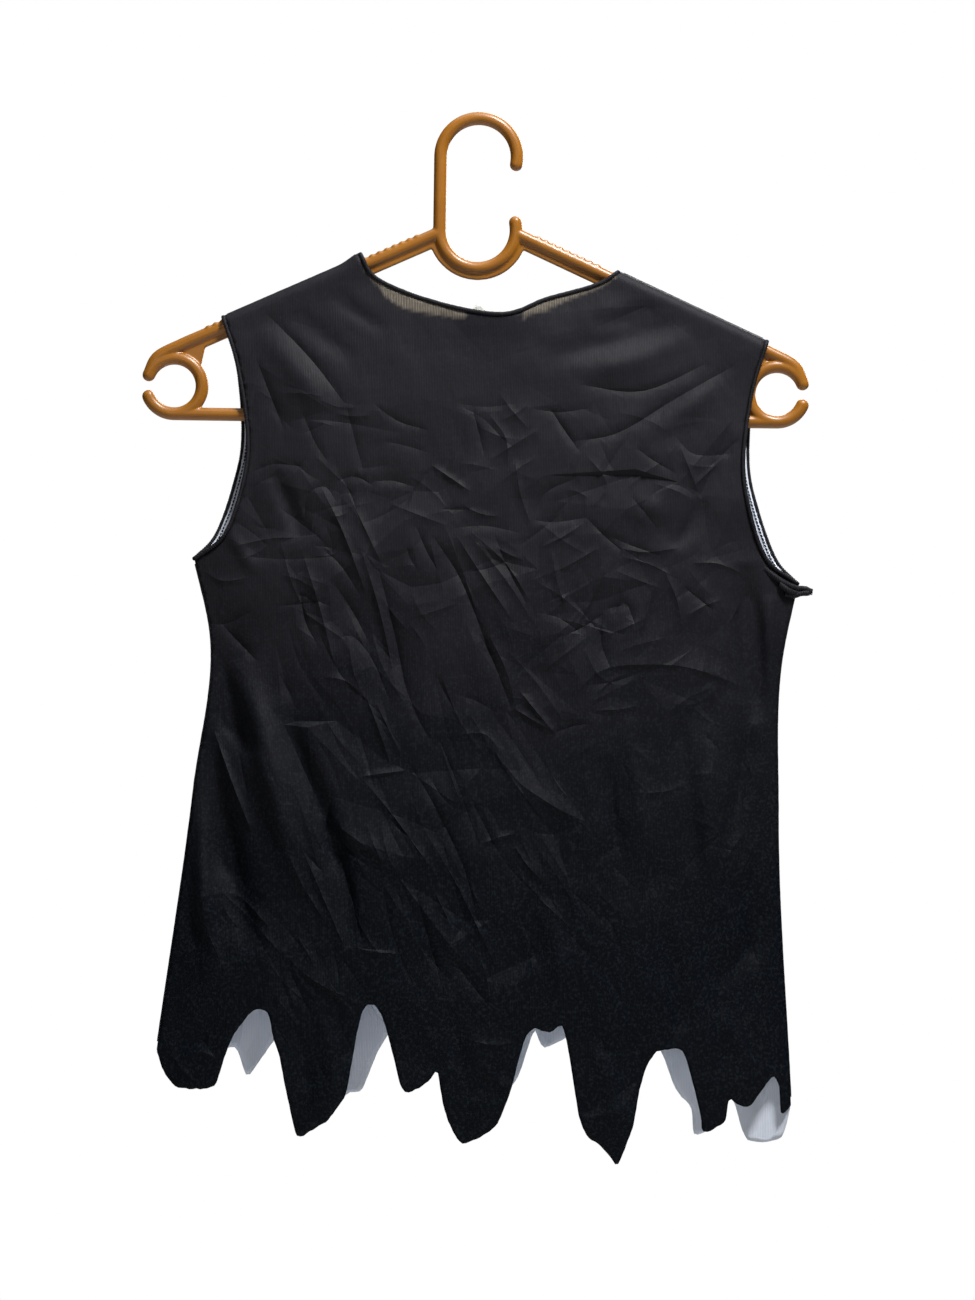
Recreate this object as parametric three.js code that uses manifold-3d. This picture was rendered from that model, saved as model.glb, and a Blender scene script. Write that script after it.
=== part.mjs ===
// A child's sleeveless costume tunic with a tattered hem, hung on a one-piece plastic clothes hanger.
// Millimetres, +Z up. The origin is the inside top of the hook, where the hanger rests on a nail or a rail.
// +X runs along the hanger. The tunic's back faces -Y and its front faces +Y.

import * as THREE from 'three';
import { mergeVertices } from 'three/addons/utils/BufferGeometryUtils.js';
import Module from 'manifold-3d';

const wasm = await Module();
wasm.setup();

// ---------------------------------------------------------------- driving dimensions

// The hanger.
const HANGER_SPAN = 400;
const ROD = 7.7;
const HOOK_RADIUS = 18.8;
const HOOK_TO_LOOP = 43.4;
const HOOK_TIP = THREE.MathUtils.degToRad(-11);
const LOOP_TIP = THREE.MathUtils.degToRad(12);
const ARM_SLOPE = THREE.MathUtils.degToRad(24.3);
const ARM_ROOT_DROP = 2;
const CLIP_RADIUS = 12.6;
const CLIP_MOUTH = 5;
const CLIP_BELOW_ARM = 24.23;
const CLIP_SWEEP = THREE.MathUtils.degToRad(288);
const RIB_WIDTH = 3;
const RIB_DEPTH = 3;
const LOOP_RIB_HALF_ANGLE = THREE.MathUtils.degToRad(70);
const GRIP_HEIGHT = 0.8;
const GRIP_RADIUS = 2;
const GRIP_PITCH = 4.8;
const GRIP_COUNT = 9;

// Where an arm's end bend passes: out from and above its clip ring's centre, as shares of its radius.
const BEND_RIGHT = 0.6;
const BEND_UP = 1.02;

// The cloth, drawn thicker than real cloth so that it makes sound solids.
const CLOTH = 1;
const CLEARANCE = 0.3;
const EDGING = 1.6;

// The tunic, laid flat.
const NECK_WIDTH = 156;
const SHOULDER_WIDTH = 321;
const CHEST_WIDTH = 357;
const WAIST_WIDTH = 339;
const HIP_WIDTH = 346;
const HEM_WIDTH = 376;
const ARMHOLE_DEPTH = 145;
const WAIST_DROP = 42;
const HIP_DROP = 135;
const LEFT_SIDE_LENGTH = 290;
const RIGHT_SIDE_LENGTH = 308;
const SEAM_ALLOWANCE = 8;

// How the tunic hangs: each level's middle lies this far to the right of the hook.
const NECK_SHIFT = 7.3;
const SHOULDER_SHIFT = 11;
const CHEST_SHIFT = 13.5;
const WAIST_SHIFT = 14.3;
const HIP_SHIFT = 9.5;
const HEM_SHIFT = 4.6;

// How far the middle of the back and front stands off the hanger's rods, at the neck and at the hem.
const NECK_EASE = 7.15;
const HEM_EASE = 15.15;

// The label inside the back neck.
const LABEL_WIDTH = 32;
const LABEL_LENGTH = 16;
const LABEL_SHIFT = 3;

// ---------------------------------------------------------------- outlines of the cut cloth

// A neckline: [share of half the neck width from its middle, drop below the neck points].
const BACK_NECK = [[-0.84, 14], [-0.4, 26], [0.1, 31], [0.445, 20], [0.81, 10]];
const FRONT_NECK = [[-0.74, 26], [-0.38, 33], [0.22, 32], [0.62, 19], [0.86, 10]];

// An armhole: [share of its depth from the shoulder, inset from the straight line to the underarm].
const BACK_ARMHOLE = [[0.21, 13], [0.5, 24], [0.7, 24], [0.9, 17]];
const FRONT_ARMHOLE = [[0.21, 12], [0.5, 20], [0.7, 18], [0.9, 11]];

// A tattered hem: [share of the hem width from the left, drop below the line between the hem corners].
const BACK_HEM = [
  [0, 0], [0.006, 8], [0.036, 21], [0.095, 17], [0.11, -1], [0.137, -22], [0.162, -31], [0.178, -29],
  [0.197, -5], [0.226, 41], [0.275, 29], [0.302, 13], [0.31, -5], [0.325, -35], [0.345, -40], [0.364, -25],
  [0.386, 5], [0.409, 7], [0.443, -5], [0.455, 17], [0.483, 36], [0.537, 23], [0.56, 0], [0.582, -31],
  [0.617, -33], [0.635, -38], [0.65, -17], [0.665, 15], [0.677, 25], [0.728, 39], [0.749, 17],
  [0.759, -5], [0.785, -27], [0.825, -29], [0.846, -5], [0.858, 18], [0.894, 11], [0.9, -2], [0.931, 1],
  [0.97, -17], [0.984, 5], [1, 0],
];
const FRONT_HEM = [
  [0, 2], [0.017, 12], [0.077, 4], [0.12, -4], [0.14, 13], [0.162, 2], [0.18, -8], [0.203, -21],
  [0.225, -1], [0.258, 31], [0.302, 19], [0.321, 17], [0.345, -6], [0.361, -17], [0.384, -31], [0.411, -3],
  [0.441, -8], [0.471, 24], [0.515, 27], [0.567, 3], [0.584, -15], [0.596, -28], [0.61, -18], [0.643, -24],
  [0.66, -29], [0.685, 7], [0.723, 29], [0.753, -5], [0.773, -35], [0.8, -21], [0.821, -1], [0.846, 9],
  [0.852, 25], [0.888, 17], [0.899, -8], [0.915, 5], [0.934, 24], [0.985, 21], [1, 2],
];

// ---------------------------------------------------------------- fineness of the faceted surfaces

const ROD_SIDES = 8;
const EDGING_SIDES = 6;
const ARC_STEP = THREE.MathUtils.degToRad(12);
const SHEET_COLUMNS = 22;
const SHEET_ROWS = 18;
const SHOULDER_ROWS = 4;
const EDGE_STEP = 4;
const SIDE_POINTS = 14;
const HOOK_STEPS = 36;
const ARM_STEPS = 12;
const CLIP_STEPS = 22;
const EDGING_STEPS_PER_POINT = 2;
const SEAM_SEGMENTS = 4;
const NORMAL_STEP = 0.05;
const MERGE = 1e-4;

// ---------------------------------------------------------------- sizes that follow

const HOOK_LINE = HOOK_RADIUS + ROD / 2;
const HOOK_Z = -HOOK_RADIUS;
const LOOP_Z = HOOK_Z - HOOK_TO_LOOP;
const CLIP_LINE = CLIP_RADIUS + ROD / 2;
const CLIP_X = HANGER_SPAN / 2 - CLIP_RADIUS - ROD;
const ARM_ROOT_Z = LOOP_Z - ARM_ROOT_DROP;
const ARM_END_X = CLIP_X - ROD / 2;
const CLIP_Z = armZ(ARM_END_X) - CLIP_BELOW_ARM;
const DRAPE_RADIUS = ROD / 2 + GRIP_HEIGHT + EDGING / 2 + 2 * CLEARANCE;
const SIDE_HALF_DEPTH = CLOTH + CLEARANCE;
const NECK_HALF_DEPTH = ROD / 2 + NECK_EASE;
const HEM_HALF_DEPTH = ROD / 2 + HEM_EASE;
const SEAM_HALF_ANGLE = Math.PI / 10;
const SHEET_START_ANGLE = SEAM_HALF_ANGLE + CLEARANCE / DRAPE_RADIUS;
const EDGE_OFFSET = EDGING / 2 + CLEARANCE;
const SEAM_TRIM = 2 * EDGING;
const GRIP_START = 1.6 * ROD;
const DRAPE_BLEND = 60;
const SHEET_MARGIN = 60;

// The height of an arm's centre line.
function armZ(x) {
  return ARM_ROOT_Z - (Math.abs(x) - HOOK_LINE) * Math.tan(ARM_SLOPE);
}

// ---------------------------------------------------------------- helpers

// A closed geometry as a solid that can be joined and cut.
function solidOf(geometry) {
  const bare = geometry.clone();
  bare.deleteAttribute('normal');
  bare.deleteAttribute('uv');
  const merged = mergeVertices(bare, MERGE);
  const mesh = new wasm.Mesh({
    numProp: 3,
    vertProperties: new Float32Array(merged.attributes.position.array),
    triVerts: new Uint32Array(merged.index.array),
  });
  return new wasm.Manifold(mesh);
}

// A solid as a geometry.
function geometryOf(solid) {
  const mesh = solid.getMesh();
  const geometry = new THREE.BufferGeometry();
  geometry.setAttribute('position', new THREE.BufferAttribute(mesh.vertProperties, 3));
  geometry.setIndex(new THREE.BufferAttribute(mesh.triVerts, 1));
  geometry.computeVertexNormals();
  return geometry;
}

// The points of a regular polygon on a circle.
function polygon(radius, sides) {
  return Array.from({ length: sides }, (_, i) => {
    const angle = ((i + 0.5) / sides) * 2 * Math.PI;
    return new THREE.Vector2(radius * Math.cos(angle), radius * Math.sin(angle));
  });
}

// Points on an arc in the hanger's plane. Angles run anticlockwise from +X.
function arc(x, z, radius, from, to) {
  const steps = Math.ceil(Math.abs(to - from) / ARC_STEP);
  return Array.from({ length: steps + 1 }, (_, i) => {
    const angle = from + ((to - from) * i) / steps;
    return new THREE.Vector3(x + radius * Math.cos(angle), 0, z + radius * Math.sin(angle));
  });
}

// A round rod of the hanger through points in its plane, with a ball at each end.
function rod(points, steps) {
  const path = new THREE.CatmullRomCurve3(points, false, 'centripetal');
  const round = new THREE.Shape(polygon(ROD / 2, ROD_SIDES));
  const bar = solidOf(new THREE.ExtrudeGeometry(round, { extrudePath: path, steps }));
  const ends = [points[0], points[points.length - 1]].map((point) => {
    const ball = new THREE.SphereGeometry(ROD / 2, ROD_SIDES, ROD_SIDES / 2);
    return solidOf(ball.rotateX(Math.PI / 2).translate(point.x, point.y, point.z));
  });
  return wasm.Manifold.union([bar, ...ends]);
}

// A flat outline in X and Z as a slab from one Y to another.
function slab(points, fromY, toY) {
  const geometry = new THREE.ExtrudeGeometry(new THREE.Shape(points), {
    depth: toY - fromY,
    bevelEnabled: false,
  });
  return geometry.rotateX(Math.PI / 2).translate(0, toY, 0);
}

// A smooth curve through points, as points about EDGE_STEP apart.
function smoothLine(points) {
  const curve = new THREE.SplineCurve(points);
  return curve.getSpacedPoints(Math.round(curve.getLength() / EDGE_STEP));
}

// A value that changes smoothly with depth below the origin.
function smoothBetween(drops, values) {
  const curve = new THREE.CubicInterpolant(drops, values, 1);
  return (z) => curve.evaluate(THREE.MathUtils.clamp(-z, drops[0], drops[drops.length - 1]))[0];
}

// ---------------------------------------------------------------- the hanger

// One arm's centre line, from the lower loop to the lip of the clip ring's mouth.
function armPoints(side) {
  const lip = Math.asin((CLIP_MOUTH / 2 + ROD / 2) / CLIP_LINE);
  const middleX = (HOOK_LINE + ARM_END_X) / 2;
  const points = [
    [HOOK_LINE, ARM_ROOT_Z],
    [middleX, armZ(middleX)],
    [ARM_END_X, armZ(ARM_END_X)],
    [CLIP_X + CLIP_LINE * BEND_RIGHT, CLIP_Z + CLIP_LINE * BEND_UP],
    [CLIP_X + CLIP_LINE * Math.cos(lip), CLIP_Z + CLIP_LINE * Math.sin(lip)],
  ];
  return points.map(([x, z]) => new THREE.Vector3(side * x, 0, z));
}

// The centre line of one clip ring, from its lower lip round to where it meets the arm.
function clipPoints(side) {
  const lip = Math.asin((CLIP_MOUTH / 2 + ROD / 2) / CLIP_LINE);
  const ring = arc(CLIP_X, CLIP_Z, CLIP_LINE, -lip, -CLIP_SWEEP);
  return ring.map((point) => point.setX(side * point.x));
}

// The stiffening rib under one arm, between the loop and the clip ring.
function armRib(side) {
  const drop = (ROD / 2 + RIB_DEPTH) / Math.cos(ARM_SLOPE);
  const outer = CLIP_X - CLIP_LINE;
  const corners = [
    [HOOK_LINE, ARM_ROOT_Z],
    [HOOK_LINE, ARM_ROOT_Z - drop],
    [outer, armZ(outer) - drop],
    [outer, armZ(outer)],
  ];
  const outline = corners.map(([x, z]) => new THREE.Vector2(side * x, z));
  return solidOf(slab(outline, -RIB_WIDTH / 2, RIB_WIDTH / 2));
}

// The same rib round the bottom of the lower loop.
function loopRib() {
  const from = -Math.PI / 2 - LOOP_RIB_HALF_ANGLE;
  const to = -Math.PI / 2 + LOOP_RIB_HALF_ANGLE;
  const outer = arc(0, LOOP_Z, HOOK_LINE + ROD / 2 + RIB_DEPTH, from, to);
  const inner = arc(0, LOOP_Z, HOOK_LINE, to, from);
  const outline = [...outer, ...inner].map((point) => new THREE.Vector2(point.x, point.z));
  return solidOf(slab(outline, -RIB_WIDTH / 2, RIB_WIDTH / 2));
}

// A row of small grip bumps along the top of one arm.
function gripRow(side, firstX) {
  return Array.from({ length: GRIP_COUNT }, (_, i) => {
    const x = firstX + i * GRIP_PITCH * Math.cos(ARM_SLOPE);
    const bump = new THREE.CylinderGeometry(GRIP_RADIUS, GRIP_RADIUS, ROD / 2, ROD_SIDES);
    const lift = ROD / 2 + GRIP_HEIGHT - GRIP_RADIUS;
    const place = [x + lift * Math.sin(ARM_SLOPE), armZ(x) + lift * Math.cos(ARM_SLOPE)];
    return solidOf(bump.translate(side * place[0], 0, place[1]));
  });
}

function hanger() {
  const hook = rod([
    ...arc(0, HOOK_Z, HOOK_LINE, HOOK_TIP, Math.PI),
    new THREE.Vector3(-HOOK_LINE, 0, (HOOK_Z + LOOP_Z) / 2),
    ...arc(0, LOOP_Z, HOOK_LINE, Math.PI, 2 * Math.PI + LOOP_TIP),
  ], HOOK_STEPS);
  const barEnds = [-1, 1].map((side) => new THREE.Vector3(side * CLIP_X, 0, CLIP_Z - CLIP_LINE));
  const pieces = [hook, rod(barEnds, 1), loopRib()];
  for (const side of [-1, 1]) {
    pieces.push(rod(armPoints(side), ARM_STEPS));
    pieces.push(rod(clipPoints(side), CLIP_STEPS));
    pieces.push(armRib(side));
    pieces.push(...gripRow(side, HOOK_LINE + GRIP_START));
    pieces.push(...gripRow(side, CLIP_X - CLIP_LINE - GRIP_COUNT * GRIP_PITCH * Math.cos(ARM_SLOPE)));
  }
  return geometryOf(wasm.Manifold.union(pieces));
}

// ---------------------------------------------------------------- where the cloth lies

// The height of the shoulder line, where the cloth crosses the top of an arm.
const shoulderZ = (x) => armZ(x) + DRAPE_RADIUS / Math.cos(ARM_SLOPE);

const neckX = (side) => NECK_SHIFT + (side * NECK_WIDTH) / 2;
const shoulderX = (side) => SHOULDER_SHIFT + (side * SHOULDER_WIDTH) / 2;
const underarmZ = (side) => shoulderZ(shoulderX(side)) - ARMHOLE_DEPTH;
const sideLength = (side) => (side < 0 ? LEFT_SIDE_LENGTH : RIGHT_SIDE_LENGTH);

// The sideways place of a side seam at any height, from the underarm to the hem.
function sideLine(side) {
  const top = -underarmZ(side);
  return smoothBetween(
    [top, top + WAIST_DROP, top + HIP_DROP, top + sideLength(side)],
    [
      CHEST_SHIFT + (side * CHEST_WIDTH) / 2,
      WAIST_SHIFT + (side * WAIST_WIDTH) / 2,
      HIP_SHIFT + (side * HIP_WIDTH) / 2,
      HEM_SHIFT + (side * HEM_WIDTH) / 2,
    ],
  );
}

const leftX = sideLine(-1);
const rightX = sideLine(1);
const hemZ = (side) => underarmZ(side) - sideLength(side);

// How far the middle of the cloth's thickness lies from the hanger's plane, front or back.
function halfDepth(x, z) {
  const aboveArm = (z - armZ(x)) * Math.cos(ARM_SLOPE);
  if (aboveArm > 0) return Math.sqrt(Math.max(DRAPE_RADIUS ** 2 - aboveArm ** 2, 0));
  const across = THREE.MathUtils.clamp((2 * x - leftX(z) - rightX(z)) / (rightX(z) - leftX(z)), -1, 1);
  const down = THREE.MathUtils.smoothstep(-z, -shoulderZ(neckX(-1)), -hemZ(1));
  const middle = THREE.MathUtils.lerp(NECK_HALF_DEPTH, HEM_HALF_DEPTH, down);
  const hollow = SIDE_HALF_DEPTH + (middle - SIDE_HALF_DEPTH) * (1 - Math.abs(across) ** 3);
  return THREE.MathUtils.lerp(DRAPE_RADIUS, hollow, THREE.MathUtils.smoothstep(-aboveArm, 0, DRAPE_BLEND));
}

// ---------------------------------------------------------------- the panels' outlines

// A neckline from the left neck point to the right one.
function neckline(shares) {
  const across = (share) => NECK_SHIFT + (share * NECK_WIDTH) / 2;
  const line = (x) => THREE.MathUtils.mapLinear(
    x, neckX(-1), neckX(1), shoulderZ(neckX(-1)), shoulderZ(neckX(1)),
  );
  const inner = shares.map(([share, drop]) => new THREE.Vector2(across(share), line(across(share)) - drop));
  const ends = [-1, 1].map((side) => new THREE.Vector2(neckX(side), shoulderZ(neckX(side))));
  return smoothLine([ends[0], ...inner, ends[1]]);
}

// One armhole from the shoulder to the underarm.
function armhole(side, shares) {
  const top = new THREE.Vector2(shoulderX(side), shoulderZ(shoulderX(side)));
  const foot = new THREE.Vector2(CHEST_SHIFT + (side * CHEST_WIDTH) / 2, underarmZ(side));
  const inner = shares.map(([share, inset]) => {
    const point = top.clone().lerp(foot, share);
    return point.setX(point.x - side * inset);
  });
  return smoothLine([top, ...inner, foot]);
}

// One side seam's line from the underarm to the hem corner, stopping short of both by a trim.
function sideEdge(side, trim) {
  const edge = side < 0 ? leftX : rightX;
  return Array.from({ length: SIDE_POINTS + 1 }, (_, i) => {
    const z = THREE.MathUtils.lerp(underarmZ(side) - trim, hemZ(side) + trim, i / SIDE_POINTS);
    return new THREE.Vector2(edge(z), z);
  });
}

// The tattered hem from left to right.
function hem(shares) {
  const left = new THREE.Vector2(leftX(hemZ(-1)), hemZ(-1));
  const right = new THREE.Vector2(rightX(hemZ(1)), hemZ(1));
  return shares.map(([share, drop]) => {
    const point = left.clone().lerp(right, share);
    return point.setY(point.y - drop);
  });
}

// The whole outline of one panel, reaching a margin above the shoulders, where the sheet ends by itself.
function panelOutline(neck, armholeShares, hemShares) {
  const above = (point) => new THREE.Vector2(point.x, point.y + SHEET_MARGIN);
  const [leftHole, rightHole] = [-1, 1].map((side) => armhole(side, armholeShares));
  const neckPoints = neckline(neck);
  return [
    above(leftHole[0]),
    ...leftHole,
    ...sideEdge(-1, 0).slice(1, -1),
    ...hem(hemShares),
    ...sideEdge(1, 0).slice(1, -1).reverse(),
    ...rightHole.reverse(),
    above(rightHole[rightHole.length - 1]),
    above(neckPoints[neckPoints.length - 1]),
    ...neckPoints.reverse(),
    above(neckPoints[neckPoints.length - 1]),
  ];
}

// ---------------------------------------------------------------- the cloth pieces

// A point on the middle of the bowed sheet. Rows up to SHOULDER_ROWS wrap the arm; the rest hang below it.
function sheetPoint(facing, column, row) {
  const reach = SHOULDER_WIDTH / 2 + SHEET_MARGIN;
  const x = THREE.MathUtils.lerp(SHOULDER_SHIFT - reach, SHOULDER_SHIFT + reach, column / SHEET_COLUMNS);
  if (row <= SHOULDER_ROWS) {
    const angle = THREE.MathUtils.lerp(SHEET_START_ANGLE, Math.PI / 2, row / SHOULDER_ROWS);
    const rise = (DRAPE_RADIUS * Math.cos(angle)) / Math.cos(ARM_SLOPE);
    return new THREE.Vector3(x, facing * DRAPE_RADIUS * Math.sin(angle), armZ(x) + rise);
  }
  const share = (row - SHOULDER_ROWS) / (SHEET_ROWS - SHOULDER_ROWS);
  const z = THREE.MathUtils.lerp(armZ(x), hemZ(1) - SHEET_MARGIN, share);
  return new THREE.Vector3(x, facing * halfDepth(x, z), z);
}

// The bowed sheet that a panel is cut from. Facing is -1 for the back and 1 for the front.
function bowedSheet(facing) {
  const sheet = new THREE.BoxGeometry(1, 1, 1, SHEET_COLUMNS, 1, SHEET_ROWS);
  const positions = sheet.attributes.position;
  for (let i = 0; i < positions.count; i += 1) {
    const column = (positions.getX(i) + 0.5) * SHEET_COLUMNS;
    const row = (0.5 - positions.getZ(i)) * SHEET_ROWS;
    const across = sheetPoint(facing, column + NORMAL_STEP, row)
      .sub(sheetPoint(facing, column - NORMAL_STEP, row));
    const down = sheetPoint(facing, column, row + NORMAL_STEP)
      .sub(sheetPoint(facing, column, row - NORMAL_STEP));
    const outward = across.cross(down).setX(0).normalize();
    const offset = Math.sign(positions.getY(i)) * (CLOTH / 2);
    const point = sheetPoint(facing, column, row).addScaledVector(outward, offset);
    positions.setXYZ(i, point.x, point.y, point.z);
  }
  return sheet;
}

// One panel: the bowed sheet inside its outline.
function panel(facing, neck, armholeShares, hemShares) {
  const outline = panelOutline(neck, armholeShares, hemShares);
  const reach = HEM_HALF_DEPTH + SHEET_MARGIN;
  const cutter = slab(outline, Math.min(facing * reach, 0), Math.max(facing * reach, 0));
  return geometryOf(solidOf(bowedSheet(facing)).intersect(solidOf(cutter)));
}

// A line moved sideways by the edging's offset, to the left of its direction of travel for side 1.
function offsetLine(points, side) {
  return points.map((point, i) => {
    const along = points[Math.min(i + 1, points.length - 1)].clone().sub(points[Math.max(i - 1, 0)]);
    const normal = new THREE.Vector2(-along.y, along.x).setLength(side * EDGE_OFFSET);
    return point.clone().add(normal);
  });
}

// A closed round edging through two lines of points, one on the back and one on the front.
function edging(backLine, frontLine, joints) {
  const onSheet = (facing) => (point) => (
    new THREE.Vector3(point.x, facing * halfDepth(point.x, point.y), point.y)
  );
  const loop = [
    joints[0],
    ...backLine.slice(1, -1).map(onSheet(-1)),
    joints[1],
    ...frontLine.slice(1, -1).map(onSheet(1)).reverse(),
  ];
  const path = new THREE.CatmullRomCurve3(loop, true, 'centripetal');
  const steps = EDGING_STEPS_PER_POINT * loop.length;
  const tube = new THREE.TubeGeometry(path, steps, EDGING / 2, EDGING_SIDES, true);
  return geometryOf(solidOf(tube));
}

// The point where an edging crosses the top of an arm.
const crossing = (x) => new THREE.Vector3(x, 0, shoulderZ(x));

function neckEdging() {
  const back = offsetLine(neckline(BACK_NECK), 1);
  const front = offsetLine(neckline(FRONT_NECK), 1);
  return edging(back, front, [crossing(neckX(-1) + EDGE_OFFSET), crossing(neckX(1) - EDGE_OFFSET)]);
}

function armholeEdging(side) {
  const back = offsetLine(armhole(side, BACK_ARMHOLE), side);
  const front = offsetLine(armhole(side, FRONT_ARMHOLE), side);
  const foot = back[back.length - 1];
  const underarm = new THREE.Vector3(foot.x, 0, foot.y);
  return edging(back, front, [crossing(shoulderX(side) + side * EDGE_OFFSET), underarm]);
}

// The sewn seam that lies along the top of an arm between the two panels.
function shoulderSeam(side) {
  const band = new THREE.Shape();
  const from = Math.PI / 2 - SEAM_HALF_ANGLE;
  const to = Math.PI / 2 + SEAM_HALF_ANGLE;
  band.absarc(0, 0, DRAPE_RADIUS + CLOTH / 2, from, to, false);
  band.absarc(0, 0, DRAPE_RADIUS - CLOTH / 2, to, from, true);
  const lean = (DRAPE_RADIUS + CLOTH / 2) * Math.sin(ARM_SLOPE);
  const start = side * neckX(side);
  const length = (side * shoulderX(side) - lean - start) / Math.cos(ARM_SLOPE);
  const seam = new THREE.ExtrudeGeometry(band, {
    depth: length,
    bevelEnabled: false,
    curveSegments: SEAM_SEGMENTS,
  });
  seam.rotateX(Math.PI / 2).rotateZ((side * Math.PI) / 2).rotateY(side * ARM_SLOPE);
  return seam.translate(side * start, 0, armZ(start));
}

// The sewn seam allowance inside one side, from the underarm to the hem corner.
function sideSeam(side) {
  const edge = sideEdge(side, SEAM_TRIM);
  const inner = edge.map((point) => new THREE.Vector2(point.x - side * SEAM_ALLOWANCE, point.y));
  return slab([...edge, ...inner.reverse()], -CLOTH / 2, CLOTH / 2);
}

// The care label, hung just inside the back neck.
function label() {
  const x = NECK_SHIFT + LABEL_SHIFT;
  const neck = neckline(BACK_NECK).filter((point) => Math.abs(point.x - x) < LABEL_WIDTH / 2);
  const top = Math.min(...neck.map((point) => point.y)) - CLEARANCE;
  const depth = Math.min(...[-1, 1].map((end) => halfDepth(x + (end * LABEL_WIDTH) / 2, top)));
  const tab = new THREE.BoxGeometry(LABEL_WIDTH, CLOTH, LABEL_LENGTH);
  return tab.translate(x, CLOTH + 2 * CLEARANCE - depth, top - LABEL_LENGTH / 2);
}

// ---------------------------------------------------------------- finishes and assembly

const plastic = { color: 0xa35f16, roughness: 0.35, metalness: 0 };
const blackCloth = { color: 0x17171b, roughness: 0.85, metalness: 0 };
const blackThread = { color: 0x0b0b0d, roughness: 0.9, metalness: 0 };
const whiteTape = { color: 0xe4e4e0, roughness: 0.8, metalness: 0 };

// One named piece.
function piece(name, geometry, finish) {
  const mesh = new THREE.Mesh(geometry, new THREE.MeshStandardMaterial(finish));
  mesh.name = name;
  return mesh;
}

const tunic = new THREE.Group();
tunic.add(piece('back_panel', panel(-1, BACK_NECK, BACK_ARMHOLE, BACK_HEM), blackCloth));
tunic.add(piece('front_panel', panel(1, FRONT_NECK, FRONT_ARMHOLE, FRONT_HEM), blackCloth));
tunic.add(piece('neck_edging', neckEdging(), blackThread));
for (const [name, side] of [['left', -1], ['right', 1]]) {
  tunic.add(piece(`${name}_shoulder_seam`, shoulderSeam(side), blackCloth));
  tunic.add(piece(`${name}_side_seam`, sideSeam(side), blackCloth));
  tunic.add(piece(`${name}_armhole_edging`, armholeEdging(side), blackThread));
}
tunic.add(piece('neck_label', label(), whiteTape));

const assembly = new THREE.Group();
assembly.add(piece('hanger', hanger(), plastic));
assembly.add(tunic);

export default assembly;
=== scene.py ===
"""The finish of a child's costume tunic with a tattered hem, hung on a one-piece plastic clothes hanger.

Blender works in metres. The size fields of the classes are in millimetres, as a maker writes them, and MM
turns one into the other. The frame is the CAD model's own: the origin is the inside top of the hook, +X runs
along the hanger, +Z is up, and the tunic's back faces -Y.
"""

import logging
import math
from dataclasses import dataclass, field
from enum import Enum
from typing import Callable, Sequence

import bmesh
import bpy
import numpy as np
from mathutils import Matrix, Vector
from mathutils.geometry import delaunay_2d_cdt


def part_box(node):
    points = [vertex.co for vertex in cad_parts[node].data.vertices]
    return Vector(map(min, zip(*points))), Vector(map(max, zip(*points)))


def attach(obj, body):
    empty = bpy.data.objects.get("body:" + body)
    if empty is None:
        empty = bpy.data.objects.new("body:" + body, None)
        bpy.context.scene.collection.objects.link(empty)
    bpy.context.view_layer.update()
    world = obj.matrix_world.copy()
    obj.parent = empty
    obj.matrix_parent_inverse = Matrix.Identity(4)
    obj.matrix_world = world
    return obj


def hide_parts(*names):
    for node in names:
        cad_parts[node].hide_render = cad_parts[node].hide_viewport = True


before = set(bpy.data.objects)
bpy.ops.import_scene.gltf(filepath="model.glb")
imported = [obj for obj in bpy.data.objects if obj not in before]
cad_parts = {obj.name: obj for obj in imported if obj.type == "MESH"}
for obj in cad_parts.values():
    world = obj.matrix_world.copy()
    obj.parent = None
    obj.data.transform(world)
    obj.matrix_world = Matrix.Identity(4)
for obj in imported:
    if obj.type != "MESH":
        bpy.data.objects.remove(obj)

MM = 0.001
LOG = logging.getLogger("tunic")

CREASE_SEED = 11
BACK_NET_SEED, FRONT_NET_SEED = 41, 43
BACK_NOISE_SEED, FRONT_NOISE_SEED = 5, 9
BACK_SPACING, FRONT_SPACING = 2.25, 3.0

Pair = tuple[float, float]
Array = np.ndarray


# ---------------------------------------------------------------- node trees


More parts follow.
